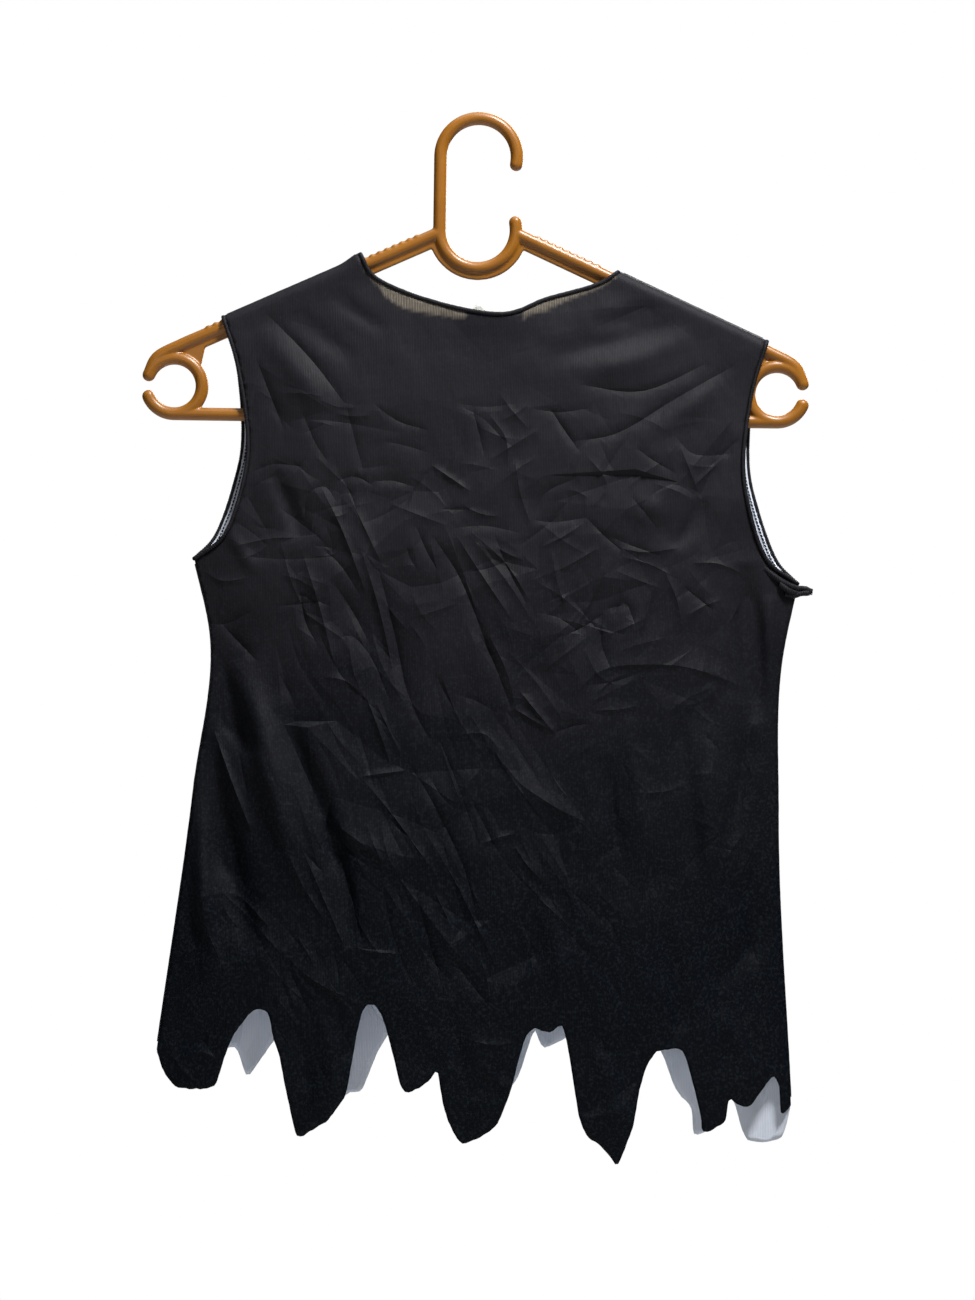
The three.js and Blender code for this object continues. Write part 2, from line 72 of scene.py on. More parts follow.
class NodeTree:
    """A short way to build any node tree: shader, group or geometry."""

    def __init__(self, tree: bpy.types.NodeTree) -> None:
        """Keeps the tree that nodes are added to.

        Args:
            tree: The tree to build.
        """
        self.tree = tree

    def add(self, kind: str, inputs: dict | None = None, **settings: object) -> bpy.types.Node:
        """Adds one node.

        Args:
            kind: The node's type name.
            inputs: A value or an output socket for each input, by name or index.
            settings: Properties of the node itself.

        Returns:
            The new node.
        """
        node = self.tree.nodes.new(kind)
        for name, value in settings.items():
            setattr(node, name, value)
        for key, value in (inputs or {}).items():
            self.feed(node.inputs[key], value)
        return node

    def feed(self, socket: bpy.types.NodeSocket, value: object) -> None:
        """Gives an input a value, or links it to an output.

        Args:
            socket: The input.
            value: A plain value or an output socket.
        """
        if isinstance(value, bpy.types.NodeSocket):
            self.tree.links.new(value, socket)
        else:
            socket.default_value = value

    def math(self, operation: str, *values: object) -> bpy.types.NodeSocket:
        """Adds a Math node.

        Args:
            operation: The operation's name.
            values: Its inputs in order.

        Returns:
            The node's output.
        """
        return self.add("ShaderNodeMath", dict(enumerate(values)), operation=operation).outputs[0]

    def mix(self, factor: object, first: object, second: object) -> bpy.types.NodeSocket:
        """Mixes two colours.

        Args:
            factor: The share of the second colour.
            first: The first colour.
            second: The second colour.

        Returns:
            The mixed colour.
        """
        node = self.add("ShaderNodeMix", data_type="RGBA")
        colours = [s for s in node.inputs if s.type == "RGBA"]
        self.feed(node.inputs[0], factor)
        self.feed(colours[0], first)
        self.feed(colours[1], second)
        return next(s for s in node.outputs if s.type == "RGBA")

    def ramp(self, value: object, low: float, high: float, start: float, end: float) -> bpy.types.NodeSocket:
        """Maps a value from one range to another, held at both ends.

        Args:
            value: The value to map.
            low: The start of its range.
            high: The end of its range.
            start: The result at low.
            end: The result at high.

        Returns:
            The mapped value.
        """
        inputs = {"Value": value, "From Min": low, "From Max": high, "To Min": start, "To Max": end}
        node = self.add("ShaderNodeMapRange", inputs, clamp=True, interpolation_type="SMOOTHSTEP")
        return node.outputs["Result"]


def rgba(colour: Sequence[float]) -> tuple[float, float, float, float]:
    """Returns a colour with full alpha."""
    return (*colour, 1.0)


class ShaderGroup:
    """A shader node group that several finishes share, built once."""

    def __init__(self, name: str, inputs: dict[str, float], outputs: Sequence[str]) -> None:
        """Makes the group with its sockets. The first input is always the place, in object coordinates.

        Args:
            name: The group's name.
            inputs: The value inputs and their defaults.
            outputs: The value outputs.
        """
        self.group = bpy.data.node_groups.new(name, "ShaderNodeTree")
        sockets = self.group.interface
        sockets.new_socket("Place", in_out="INPUT", socket_type="NodeSocketVector")
        for label, value in inputs.items():
            sockets.new_socket(label, in_out="INPUT", socket_type="NodeSocketFloat").default_value = value
        for label in outputs:
            sockets.new_socket(label, in_out="OUTPUT", socket_type="NodeSocketFloat")
        self.tree = NodeTree(self.group)
        self.start = self.tree.add("NodeGroupInput").outputs
        self.end = self.tree.add("NodeGroupOutput").inputs

    def place(self, tree: NodeTree, place: object, **values: object) -> bpy.types.bpy_prop_collection:
        """Puts the group into a tree.

        Args:
            tree: The tree to put it in.
            place: The object coordinates.
            values: The inputs by name, with _ for a space.

        Returns:
            The group node's outputs.
        """
        named = {key.replace("_", " "): value for key, value in values.items()}
        return tree.add("ShaderNodeGroup", {"Place": place, **named}, node_tree=self.group).outputs


def weave_group() -> ShaderGroup:
    """Builds the weave: fine upright ribs crossed by finer picks, both a little uneven.

    Returns:
        The group, with the outputs Height and Rib.
    """
    made = ShaderGroup("Weave", {"Rib Pitch": 0.0009, "Unevenness": 0.5}, ("Height", "Rib"))
    tree, start, end = made.tree, made.start, made.end
    axes = tree.add("ShaderNodeSeparateXYZ", {"Vector": start["Place"]}).outputs
    stretch = tree.add("ShaderNodeMapping", {"Vector": start["Place"], "Scale": (1.0, 1.0, 0.12)}).outputs[0]
    slub = tree.add("ShaderNodeTexNoise", {"Vector": stretch, "Scale": 620.0, "Detail": 2.0}).outputs["Fac"]
    drift = tree.math("MULTIPLY", slub, start["Unevenness"])
    turns = tree.math("DIVIDE", axes["X"], start["Rib Pitch"])
    rib = tree.math("SINE", tree.math("MULTIPLY", tree.math("ADD", turns, drift), 2 * math.pi))
    picks = tree.math("DIVIDE", axes["Z"], tree.math("MULTIPLY", start["Rib Pitch"], 0.7))
    pick = tree.math("SINE", tree.math("MULTIPLY", tree.math("ADD", picks, drift), 2 * math.pi))
    ribbed = tree.math("MULTIPLY_ADD", rib, 0.5, 0.5)
    crossed = tree.math("MULTIPLY_ADD", pick, 0.18, tree.math("MULTIPLY", ribbed, 0.5))
    tree.feed(end["Height"], tree.math("ADD", crossed, tree.math("MULTIPLY", slub, start["Unevenness"])))
    tree.feed(end["Rib"], ribbed)
    return made


def drift_group() -> ShaderGroup:
    """Builds the slow drift of a finish over a surface, with finer specks on it.

    Returns:
        The group, with the outputs Patch and Speck.
    """
    made = ShaderGroup("Drift", {"Patch Size": 0.05, "Speck Size": 0.0012}, ("Patch", "Speck"))
    tree, start, end = made.tree, made.start, made.end
    for label, size in (("Patch", "Patch Size"), ("Speck", "Speck Size")):
        scale = tree.math("DIVIDE", 1.0, start[size])
        inputs = {"Vector": start["Place"], "Scale": scale, "Detail": 3.0, "Roughness": 0.55}
        tree.feed(end[label], tree.add("ShaderNodeTexNoise", inputs).outputs["Fac"])
    return made


def crinkle_group() -> ShaderGroup:
    """Builds the finest creases: nets of small facets, longer one way than the other, with sharp borders.

    Returns:
        The group, with the output Height.
    """
    made = ShaderGroup("Crinkle", {"Facet Size": 0.02, "Bend": 0.35}, ("Height",))
    tree, start, end = made.tree, made.start, made.end
    turn = {"Vector": start["Place"], "Rotation": (0.0, math.radians(24), 0.0), "Scale": (1.0, 1.0, 0.5)}
    turned = tree.add("ShaderNodeMapping", turn).outputs[0]
    sway = tree.add("ShaderNodeTexNoise", {"Vector": turned, "Scale": 38.0, "Detail": 1.0}).outputs["Color"]
    pull = tree.math("MULTIPLY", start["Bend"], start["Facet Size"])
    swayed = tree.add("ShaderNodeVectorMath", {0: sway, "Scale": pull}, operation="SCALE").outputs[0]
    place = tree.add("ShaderNodeVectorMath", {0: turned, 1: swayed}, operation="ADD").outputs[0]
    total = 0.0
    for share, weight in ((1.0, 0.65), (2.3, 0.35)):
        scale = tree.math("DIVIDE", share, start["Facet Size"])
        net = tree.add("ShaderNodeTexVoronoi", {"Vector": place, "Scale": scale}, feature="DISTANCE_TO_EDGE")
        border = tree.ramp(net.outputs["Distance"], 0.0, 0.35, 0.0, weight)
        total = tree.math("ADD", border, total)
    tree.feed(end["Height"], total)
    return made


# ---------------------------------------------------------------- finishes


class Finish:
    """One material. A subclass says how it is dressed."""

    name: str

    def material(self) -> bpy.types.Material:
        """Builds the material, once.

        Returns:
            The material.
        """
        made = bpy.data.materials.get(self.name)
        if made is None:
            made = bpy.data.materials.new(self.name)
            made.use_nodes = True
            tree = NodeTree(made.node_tree)
            place = tree.add("ShaderNodeTexCoord").outputs["Object"]
            self.dress(tree, made.node_tree.nodes["Principled BSDF"].inputs, place)
        return made

    def dress(self, tree: NodeTree, shader: bpy.types.bpy_prop_collection, place: bpy.types.NodeSocket) -> None:
        """Feeds the shader's inputs.

        Args:
            tree: The material's tree.
            shader: The Principled shader's inputs.
            place: The object coordinates.
        """
        raise NotImplementedError


@dataclass(frozen=True)
class DyedCloth(Finish):
    """The tunic's outside: polyester dyed black, with painted light and shade: charcoal at the shoulders, where
    the light from above falls, and blue-black at the hem.
    """

    weave: ShaderGroup
    drift: ShaderGroup
    crinkle: ShaderGroup
    name: str = "dyed_cloth"
    # shoulder and hem are painted light and painted shade: the lit top and the shaded foot of the black cloth
    # under the light from above.
    shoulder: tuple = (0.0152, 0.0140, 0.0176)
    hem: tuple = (0.0006, 0.0018, 0.0042)
    # painted_through_light is painted light: the light that shines through the single layer at the back neck,
    # painted into the colour.
    painted_through_light: tuple = (0.20, 0.172, 0.135)
    painted_light_from: float = -0.50
    painted_light_to: float = -0.16
    rib_pitch: float = 0.00095

    def dress(self, tree: NodeTree, shader: bpy.types.bpy_prop_collection, place: bpy.types.NodeSocket) -> None:
        """Feeds the shader's inputs: painted light makes the colour lighter upwards, and a single layer is
        painted with the light that comes through it.
        """
        weave = self.weave.place(tree, place, Rib_Pitch=self.rib_pitch, Unevenness=0.9)
        drift = self.drift.place(tree, place, Patch_Size=0.075, Speck_Size=0.0016)
        axes = tree.add("ShaderNodeSeparateXYZ", {"Vector": place}).outputs
        # Painted light and shade: the colour runs from hem to shoulder with height, lighter where the light
        # from above falls; dye holds the black dye with this painted light in it.
        sway = tree.math("MULTIPLY_ADD", drift["Patch"], 0.16, -0.08)
        height = tree.math("ADD", axes["Z"], sway)
        painted_light_share = tree.ramp(height, self.painted_light_from, self.painted_light_to, 0.0, 1.0)
        dye = tree.mix(painted_light_share, rgba(self.hem), rgba(self.shoulder))
        worn = tree.mix(tree.ramp(drift["Speck"], 0.45, 0.72, 0.0, 0.36), dye, rgba((0.024, 0.029, 0.034)))
        ribbed = tree.mix(tree.math("MULTIPLY", weave["Rib"], 0.22), worn, rgba((0.003, 0.003, 0.004)))
        # Painted light: where the cloth is a single layer the colour is lightened to brownish grey in rib
        # streaks, standing in for light shining through it.
        single = tree.add("ShaderNodeAttribute", attribute_name="single_layer").outputs["Fac"]
        glow = tree.math("MULTIPLY", single, tree.math("MULTIPLY_ADD", weave["Rib"], 0.85, 0.15))
        tree.feed(shader["Base Color"], tree.mix(glow, ribbed, rgba(self.painted_through_light)))
        tree.feed(shader["Roughness"], tree.ramp(drift["Patch"], 0.2, 0.8, 0.5, 0.6))
        tree.feed(shader["Alpha"], tree.math("MULTIPLY_ADD", glow, -0.035, 1.0))
        shader["Specular IOR Level"].default_value = 0.09
        crinkle = self.crinkle.place(tree, place, Facet_Size=0.02, Bend=0.5)
        creased = {"Height": crinkle["Height"], "Distance": 0.0004, "Strength": 0.5}
        crumpled = tree.add("ShaderNodeBump", creased).outputs["Normal"]
        bump = {"Height": weave["Height"], "Distance": 0.00025, "Strength": 0.45, "Normal": crumpled}
        tree.feed(shader["Normal"], tree.add("ShaderNodeBump", bump).outputs["Normal"])


@dataclass(frozen=True)
class BareCloth(Finish):
    """The tunic's inside, which the dye never reached: white with a grey-blue cast of the black behind."""

    weave: ShaderGroup
    drift: ShaderGroup
    name: str = "bare_cloth"
    white: tuple = (0.80, 0.84, 0.92)
    cast: tuple = (0.54, 0.59, 0.68)

    def dress(self, tree: NodeTree, shader: bpy.types.bpy_prop_collection, place: bpy.types.NodeSocket) -> None:
        """Feeds the shader's inputs: the dye behind shows as soft grey patches."""
        weave = self.weave.place(tree, place, Rib_Pitch=0.00095, Unevenness=0.9)
        drift = self.drift.place(tree, place, Patch_Size=0.03, Speck_Size=0.002)
        shade = tree.math("MULTIPLY_ADD", weave["Rib"], 0.25, tree.math("MULTIPLY", drift["Patch"], 0.8))
        tree.feed(shader["Base Color"], tree.mix(shade, rgba(self.white), rgba(self.cast)))
        tree.feed(shader["Roughness"], tree.ramp(drift["Speck"], 0.2, 0.8, 0.68, 0.8))
        shader["Sheen Weight"].default_value = 0.15
        bump = {"Height": weave["Height"], "Distance": 0.00025, "Strength": 0.4}
        tree.feed(shader["Normal"], tree.add("ShaderNodeBump", bump).outputs["Normal"])


@dataclass(frozen=True)
class Thread(Finish):
    """Black polyester sewing thread."""

    drift: ShaderGroup
    name: str = "black_thread"
    dark: tuple = (0.006, 0.006, 0.008)
    light: tuple = (0.028, 0.027, 0.031)

    def dress(self, tree: NodeTree, shader: bpy.types.bpy_prop_collection, place: bpy.types.NodeSocket) -> None:
        """Feeds the shader's inputs: single fibres catch the light."""
        drift = self.drift.place(tree, place, Patch_Size=0.006, Speck_Size=0.0006)
        tree.feed(shader["Base Color"], tree.mix(drift["Speck"], rgba(self.dark), rgba(self.light)))
        tree.feed(shader["Roughness"], tree.ramp(drift["Patch"], 0.2, 0.8, 0.45, 0.65))
        shader["Sheen Weight"].default_value = 0.03
        shader["Specular IOR Level"].default_value = 0.2
        bump = {"Height": drift["Speck"], "Distance": 0.0002, "Strength": 0.5}
        tree.feed(shader["Normal"], tree.add("ShaderNodeBump", bump).outputs["Normal"])


@dataclass(frozen=True)
class Tape(Finish):
    """White woven label tape, with no print."""

    weave: ShaderGroup
    drift: ShaderGroup
    name: str = "white_tape"
    white: tuple = (0.74, 0.74, 0.70)
    worn: tuple = (0.50, 0.50, 0.47)

    def dress(self, tree: NodeTree, shader: bpy.types.bpy_prop_collection, place: bpy.types.NodeSocket) -> None:
        """Feeds the shader's inputs: a close satin weave, a little soiled."""
        weave = self.weave.place(tree, place, Rib_Pitch=0.0005, Unevenness=0.3)
        drift = self.drift.place(tree, place, Patch_Size=0.012, Speck_Size=0.001)
        tree.feed(shader["Base Color"], tree.mix(drift["Patch"], rgba(self.white), rgba(self.worn)))
        tree.feed(shader["Roughness"], tree.ramp(weave["Rib"], 0.0, 1.0, 0.45, 0.6))
        shader["Sheen Weight"].default_value = 0.1
        bump = {"Height": weave["Height"], "Distance": 0.0002, "Strength": 0.5}
        tree.feed(shader["Normal"], tree.add("ShaderNodeBump", bump).outputs["Normal"])


@dataclass(frozen=True)
class MouldedPlastic(Finish):
    """The hanger's polypropylene: caramel brown, glossy, with a parting line and fine scratches."""

    drift: ShaderGroup
    name: str = "moulded_plastic"
    bright: tuple = (0.33, 0.128, 0.009)
    deep: tuple = (0.235, 0.082, 0.005)
    parting: float = 0.00035

    def dress(self, tree: NodeTree, shader: bpy.types.bpy_prop_collection, place: bpy.types.NodeSocket) -> None:
        """Feeds the shader: flow marks in the colour, scratches in the gloss, a parting line in the bump."""
        drift = self.drift.place(tree, place, Patch_Size=0.018, Speck_Size=0.0014)
        axes = tree.add("ShaderNodeSeparateXYZ", {"Vector": place}).outputs
        tree.feed(shader["Base Color"], tree.mix(drift["Patch"], rgba(self.bright), rgba(self.deep)))
        tree.feed(shader["Roughness"], tree.ramp(drift["Speck"], 0.3, 0.8, 0.32, 0.42))
        line = tree.ramp(tree.math("ABSOLUTE", axes["Y"]), 0.0, self.parting, 1.0, 0.0)
        marks = tree.math("MULTIPLY_ADD", drift["Speck"], 0.12, line)
        bump = {"Height": marks, "Distance": 0.00025, "Strength": 0.6}
        tree.feed(shader["Normal"], tree.add("ShaderNodeBump", bump).outputs["Normal"])
        shader["Specular IOR Level"].default_value = 0.5


@dataclass(frozen=True)
class StudioFloor(Finish):
    """A plain pale floor."""

    drift: ShaderGroup
    name: str = "studio_floor"
    glow: float = 0.42

    def dress(self, tree: NodeTree, shader: bpy.types.bpy_prop_collection, place: bpy.types.NodeSocket) -> None:
        """Feeds the shader's inputs: almost no pattern at all, and a little light of its own to the eye."""
        drift = self.drift.place(tree, place, Patch_Size=1.5, Speck_Size=0.02)
        paint = tree.mix(drift["Patch"], rgba((0.93, 0.93, 0.93)), rgba((0.9, 0.9, 0.9)))
        tree.feed(shader["Base Color"], paint)
        shader["Roughness"].default_value = 0.9
        shader["Specular IOR Level"].default_value = 0.1
        seen = tree.add("ShaderNodeLightPath").outputs["Is Camera Ray"]
        shader["Emission Color"].default_value = rgba((1.0, 1.0, 1.0))
        tree.feed(shader["Emission Strength"], tree.math("MULTIPLY", seen, self.glow))


@dataclass
class Finishes:
    """Every finish of the object and the floor, built from the shared groups."""

    outside: bpy.types.Material = field(init=False)
    inside: bpy.types.Material = field(init=False)
    thread: bpy.types.Material = field(init=False)
    tape: bpy.types.Material = field(init=False)
    plastic: bpy.types.Material = field(init=False)
    floor: bpy.types.Material = field(init=False)

    def __post_init__(self) -> None:
        """Builds the groups and the materials."""
        weave, drift = weave_group(), drift_group()
        self.outside = DyedCloth(weave, drift, crinkle_group()).material()
        self.inside = BareCloth(weave, drift).material()
        self.thread = Thread(drift).material()
        self.tape = Tape(weave, drift).material()
        self.plastic = MouldedPlastic(drift).material()
        self.floor = StudioFloor(drift).material()


# ---------------------------------------------------------------- curves and fields


def smoothstep(value: Array, low: float, high: float) -> Array:
    """Returns 0 below low, 1 above high and a smooth rise between."""
    share = np.clip((value - low) / (high - low), 0.0, 1.0)
    return share * share * (3 - 2 * share)


def smooth_line(points: Sequence[Sequence[float]], step: float, roundness: float = 1.0) -> Array:
    """Runs a curve through points, evenly stepped.

    Args:
        points: The points that the curve passes.
        step: The distance between its points.
        roundness: 1 for a full curve, 0 for straight lines between the points.

    Returns:
        The curve's points, ends included.
    """
    knots = np.asarray(points, float)
    before = np.vstack([2 * knots[0] - knots[1], knots[:-1]])
    after = np.vstack([knots[1:], 2 * knots[-1] - knots[-2]])
    slopes = (after - before) / 2
    fine = []
    for i in range(len(knots) - 1):
        chord = knots[i + 1] - knots[i]
        t = np.linspace(0, 1, 24, endpoint=False)[:, None]
        start = roundness * slopes[i] + (1 - roundness) * chord
        end = roundness * slopes[i + 1] + (1 - roundness) * chord
        fine.append(
            (2 * t**3 - 3 * t**2 + 1) * knots[i] + (t**3 - 2 * t**2 + t) * start
            + (3 * t**2 - 2 * t**3) * knots[i + 1] + (t**3 - t**2) * end
        )
    return even_steps(np.vstack([*fine, knots[-1:]]), step)


def even_steps(points: Array, step: float) -> Array:
    """Steps evenly along a line of points.

    Args:
        points: The line's points.
        step: The distance between the new points.

    Returns:
        The new points, ends included.
    """
    lengths = np.concatenate([[0], np.cumsum(np.linalg.norm(np.diff(points, axis=0), axis=1))])
    count = max(2, round(lengths[-1] / step) + 1)
    places = np.linspace(0, lengths[-1], count)
    return np.stack([np.interp(places, lengths, points[:, i]) for i in range(points.shape[1])], axis=1)


def smooth_value(knots: Sequence[float], values: Sequence[float]) -> Callable[[Array], Array]:
    """Returns a function that runs smoothly through values and stays level past both ends.

    Args:
        knots: The rising places of the values.
        values: The values.

    Returns:
        The function of a place.
    """
    at, value = np.asarray(knots, float), np.asarray(values, float)
    slope = np.gradient(value, at)

    def evaluate(place: Array) -> Array:
        """Returns the value at a place."""
        x = np.clip(place, at[0], at[-1])
        i = np.clip(np.searchsorted(at, x, side="right") - 1, 0, len(at) - 2)
        gap = at[i + 1] - at[i]
        t = (x - at[i]) / gap
        return (
            (2 * t**3 - 3 * t**2 + 1) * value[i] + (t**3 - 2 * t**2 + t) * gap * slope[i]
            + (3 * t**2 - 2 * t**3) * value[i + 1] + (t**3 - t**2) * gap * slope[i + 1]
        )

    return evaluate


def cubic_weights(t: Array) -> Array:
    """Returns the four weights of a smooth curve through evenly spaced values."""
    return np.stack(
        [-0.5 * t + t**2 - 0.5 * t**3, 1 - 2.5 * t**2 + 1.5 * t**3,
         0.5 * t + 2 * t**2 - 1.5 * t**3, -0.5 * t**2 + 0.5 * t**3]
    )


def read_grid(grid: Array, column: Array, row: Array) -> Array:
    """Reads a grid of values smoothly at places between its cells.

    Args:
        grid: Values by row and column, with any number of channels.
        column: The places across, in cells.
        row: The places down, in cells.

    Returns:
        The values at the places.
    """
    rows, columns = grid.shape[:2]
    c, r = np.clip(column, 0, columns - 1.001), np.clip(row, 0, rows - 1.001)
    ci, ri = np.floor(c).astype(int), np.floor(r).astype(int)
    wc, wr = cubic_weights(c - ci), cubic_weights(r - ri)
    total = np.zeros((len(c), grid.shape[2]))
    for i in range(4):
        for j in range(4):
            cell = grid[np.clip(ri + i - 1, 0, rows - 1), np.clip(ci + j - 1, 0, columns - 1)]
            total += (wr[i] * wc[j])[:, None] * cell
    return total


def grid_quads(rows: int, columns: int) -> Array:
    """Returns the four-cornered faces of a grid whose points are numbered row by row."""
    index = np.arange(rows * columns).reshape(rows, columns)
    ring = (index[:-1, :-1], index[1:, :-1], index[1:, 1:], index[:-1, 1:])
    return np.stack(ring, axis=-1).reshape(-1, 4)


class NoiseField:
    """Seeded smooth noise over the cloth."""

    def __init__(self, seed: int, cell: float) -> None:
        """Draws the noise.

        Args:
            seed: The seed.
            cell: The size of its patches, in millimetres.
        """
        self.cell = cell
        self.grid = np.random.default_rng(seed).uniform(-1, 1, (160, 160, 1))

    def read(self, x: Array, z: Array) -> Array:
        """Returns the noise at places on the cloth, from -1 to 1."""
        column = np.mod(x / self.cell + 80, 157) + 1
        row = np.mod(-z / self.cell + 3, 157) + 1
        return read_grid(self.grid, column, row)[:, 0]


# ---------------------------------------------------------------- the cut of the tunic


class Side(Enum):
    """The wearer's sides as the back view shows them."""

    LEFT = -1
    RIGHT = 1


class Facing(Enum):
    """Which way a panel faces."""

    BACK = -1
    FRONT = 1


@dataclass(frozen=True)
class HangerSizes:
    """The hanger's sizes, in millimetres."""

    rod: float = 7.7
    hook_radius: float = 18.8
    hook_to_loop: float = 43.4
    arm_slope: float = math.radians(24.3)
    arm_root_drop: float = 2
    clip_radius: float = 12.6
    clip_mouth: float = 5
    clip_below_arm: float = 24.23
    rib_width: float = 3
    rib_depth: float = 3
    grip_height: float = 0.8
    grip_radius: float = 2
    grip_pitch: float = 4.8
    grip_count: int = 9

    @property
    def half_span(self) -> float:
        """Half the hanger's length, from the frame."""
        low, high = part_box("hanger")
        return (high.x - low.x) / 2 / MM

    @property
    def hook_line(self) -> float:
        """The radius of the hook's centre line."""
        return self.hook_radius + self.rod / 2

    @property
    def loop_z(self) -> float:
        """The height of the lower loop's centre."""
        return -self.hook_radius - self.hook_to_loop

    @property
    def clip_line(self) -> float:
        """The radius of a clip ring's centre line."""
        return self.clip_radius + self.rod / 2

    @property
    def clip_x(self) -> float:
        """How far a clip ring's centre lies from the hook."""
        return self.half_span - self.clip_radius - self.rod

    @property
    def arm_end(self) -> float:
        """How far the straight arm reaches."""
        return self.clip_x - self.rod / 2

    @property
    def clip_z(self) -> float:
        """The height of a clip ring's centre."""
        return float(self.arm_z(self.arm_end)) - self.clip_below_arm

    def arm_z(self, x: Array | float) -> Array | float:
        """Returns the height of an arm's centre line."""
        run = np.abs(x) - self.hook_line
        return self.loop_z - self.arm_root_drop - run * math.tan(self.arm_slope)


@dataclass(frozen=True)
class TunicCut:
    """The tunic's cut and how it hangs, in millimetres."""

    hanger: HangerSizes
    neck_width: float = 156
    shoulder_width: float = 321
    chest_width: float = 357
    waist_width: float = 339
    hip_width: float = 346
    hem_width: float = 376
    armhole_depth: float = 145
    waist_drop: float = 42
    hip_drop: float = 135
    left_length: float = 290
    right_length: float = 308
    neck_shift: float = 7.3
    shoulder_shift: float = 11
    chest_shift: float = 13.5
    waist_shift: float = 14.3
    hip_shift: float = 9.5
    hem_shift: float = 4.6
    drape_radius: float = 6.05
    side_half_depth: float = 0.5
    neck_half_depth: float = 11
    hem_half_depth: float = 19
    drape_blend: float = 60
    necklines: dict = field(default_factory=lambda: {
        Facing.BACK: ((-0.84, 14), (-0.4, 26), (0.1, 31), (0.445, 20), (0.81, 10)),
        Facing.FRONT: ((-0.74, 26), (-0.38, 33), (0.22, 32), (0.62, 19), (0.86, 10)),
    })
    armholes: dict = field(default_factory=lambda: {
        Facing.BACK: ((0.21, 13), (0.5, 24), (0.7, 24), (0.9, 17)),
        Facing.FRONT: ((0.21, 12), (0.5, 20), (0.7, 18), (0.9, 11)),
    })
    hems: dict = field(default_factory=lambda: {
        Facing.BACK: (
            (0, 0), (0.006, 8), (0.018, 16), (0.036, 21), (0.066, 20), (0.095, 17), (0.103, 8), (0.11, -1),
            (0.122, -13), (0.137, -22), (0.15, -28), (0.162, -31), (0.178, -29), (0.187, -15), (0.197, -5),
            (0.211, 20), (0.226, 41), (0.252, 36), (0.275, 29), (0.292, 20), (0.302, 13), (0.31, -5),
            (0.317, -22), (0.325, -35), (0.333, -40), (0.345, -40), (0.356, -34), (0.364, -25), (0.377, -8),
            (0.386, 5), (0.395, 9), (0.409, 7), (0.43, 1), (0.443, -5), (0.449, 6), (0.455, 17), (0.469, 30),
            (0.483, 36), (0.51, 32), (0.537, 23), (0.549, 12), (0.56, 0), (0.571, -18), (0.582, -31),
            (0.595, -35), (0.617, -33), (0.635, -38), (0.643, -30), (0.65, -17), (0.657, -1), (0.665, 15),
            (0.677, 25), (0.704, 32), (0.722, 40), (0.728, 39), (0.738, 29), (0.749, 17), (0.754, 6),
            (0.759, -5), (0.77, -18), (0.785, -27), (0.806, -29), (0.825, -29), (0.836, -18), (0.846, -5),
            (0.856, 10), (0.858, 18), (0.876, 16), (0.894, 11), (0.9, -2), (0.915, 1), (0.931, 2), (0.952, -8),
            (0.97, -17), (0.98, -12), (0.984, 5), (0.992, 4), (1, 0),
        ),
        Facing.FRONT: (
            (0, 2), (0.017, 12), (0.077, 4), (0.12, -4), (0.14, 13), (0.162, 2), (0.18, -8), (0.203, -21),
            (0.225, -1), (0.258, 31), (0.302, 19), (0.321, 17), (0.345, -6), (0.361, -17), (0.384, -31),
            (0.411, -3), (0.441, -8), (0.471, 24), (0.515, 27), (0.567, 3), (0.584, -15), (0.596, -28),
            (0.61, -18), (0.643, -24), (0.66, -29), (0.685, 7), (0.723, 29), (0.753, -5), (0.773, -35),
            (0.8, -21), (0.821, -1), (0.846, 9), (0.852, 25), (0.888, 17), (0.899, -8), (0.915, 5), (0.934, 24),
            (0.985, 21), (1, 2),
        ),
    })

    def neck_x(self, side: Side) -> float:
        """Returns the place of a neck point."""
        return self.neck_shift + side.value * self.neck_width / 2

    def shoulder_x(self, side: Side) -> float:
        """Returns the place of a shoulder point."""
        return self.shoulder_shift + side.value * self.shoulder_width / 2

    def shoulder_z(self, x: Array | float) -> Array | float:
        """Returns the height where the cloth crosses the top of an arm."""
        return self.hanger.arm_z(x) + self.drape_radius / math.cos(self.hanger.arm_slope)

    def underarm(self, side: Side) -> Pair:
        """Returns the point where a side seam starts."""
        z = float(self.shoulder_z(self.shoulder_x(side))) - self.armhole_depth
        return (self.chest_shift + side.value * self.chest_width / 2, z)

    def hem_corner(self, side: Side) -> Pair:
        """Returns the point where a side seam ends."""
        length = self.left_length if side is Side.LEFT else self.right_length
        return (self.hem_shift + side.value * self.hem_width / 2, self.underarm(side)[1] - length)

    def side_x(self, side: Side, z: Array | float) -> Array:
        """Returns the sideways place of a side seam at a height."""
        top, foot = -self.underarm(side)[1], -self.hem_corner(side)[1]
        half = side.value / 2
        line = smooth_value(
            (top, top + self.waist_drop, top + self.hip_drop, foot),
            (self.chest_shift + half * self.chest_width, self.waist_shift + half * self.waist_width,
             self.hip_shift + half * self.hip_width, self.hem_shift + half * self.hem_width),
        )
        return line(-np.asarray(z, float))

    def neckline(self, facing: Facing) -> Array:
        """Returns a neckline from the left neck point to the right one."""
        ends = [(self.neck_x(side), float(self.shoulder_z(self.neck_x(side)))) for side in Side]
        inner = []
        for share, drop in self.necklines[facing]:
            x = self.neck_shift + share * self.neck_width / 2
            inner.append((x, np.interp(x, [ends[0][0], ends[1][0]], [ends[0][1], ends[1][1]]) - drop))
        return smooth_line([ends[0], *inner, ends[1]], 2.0)

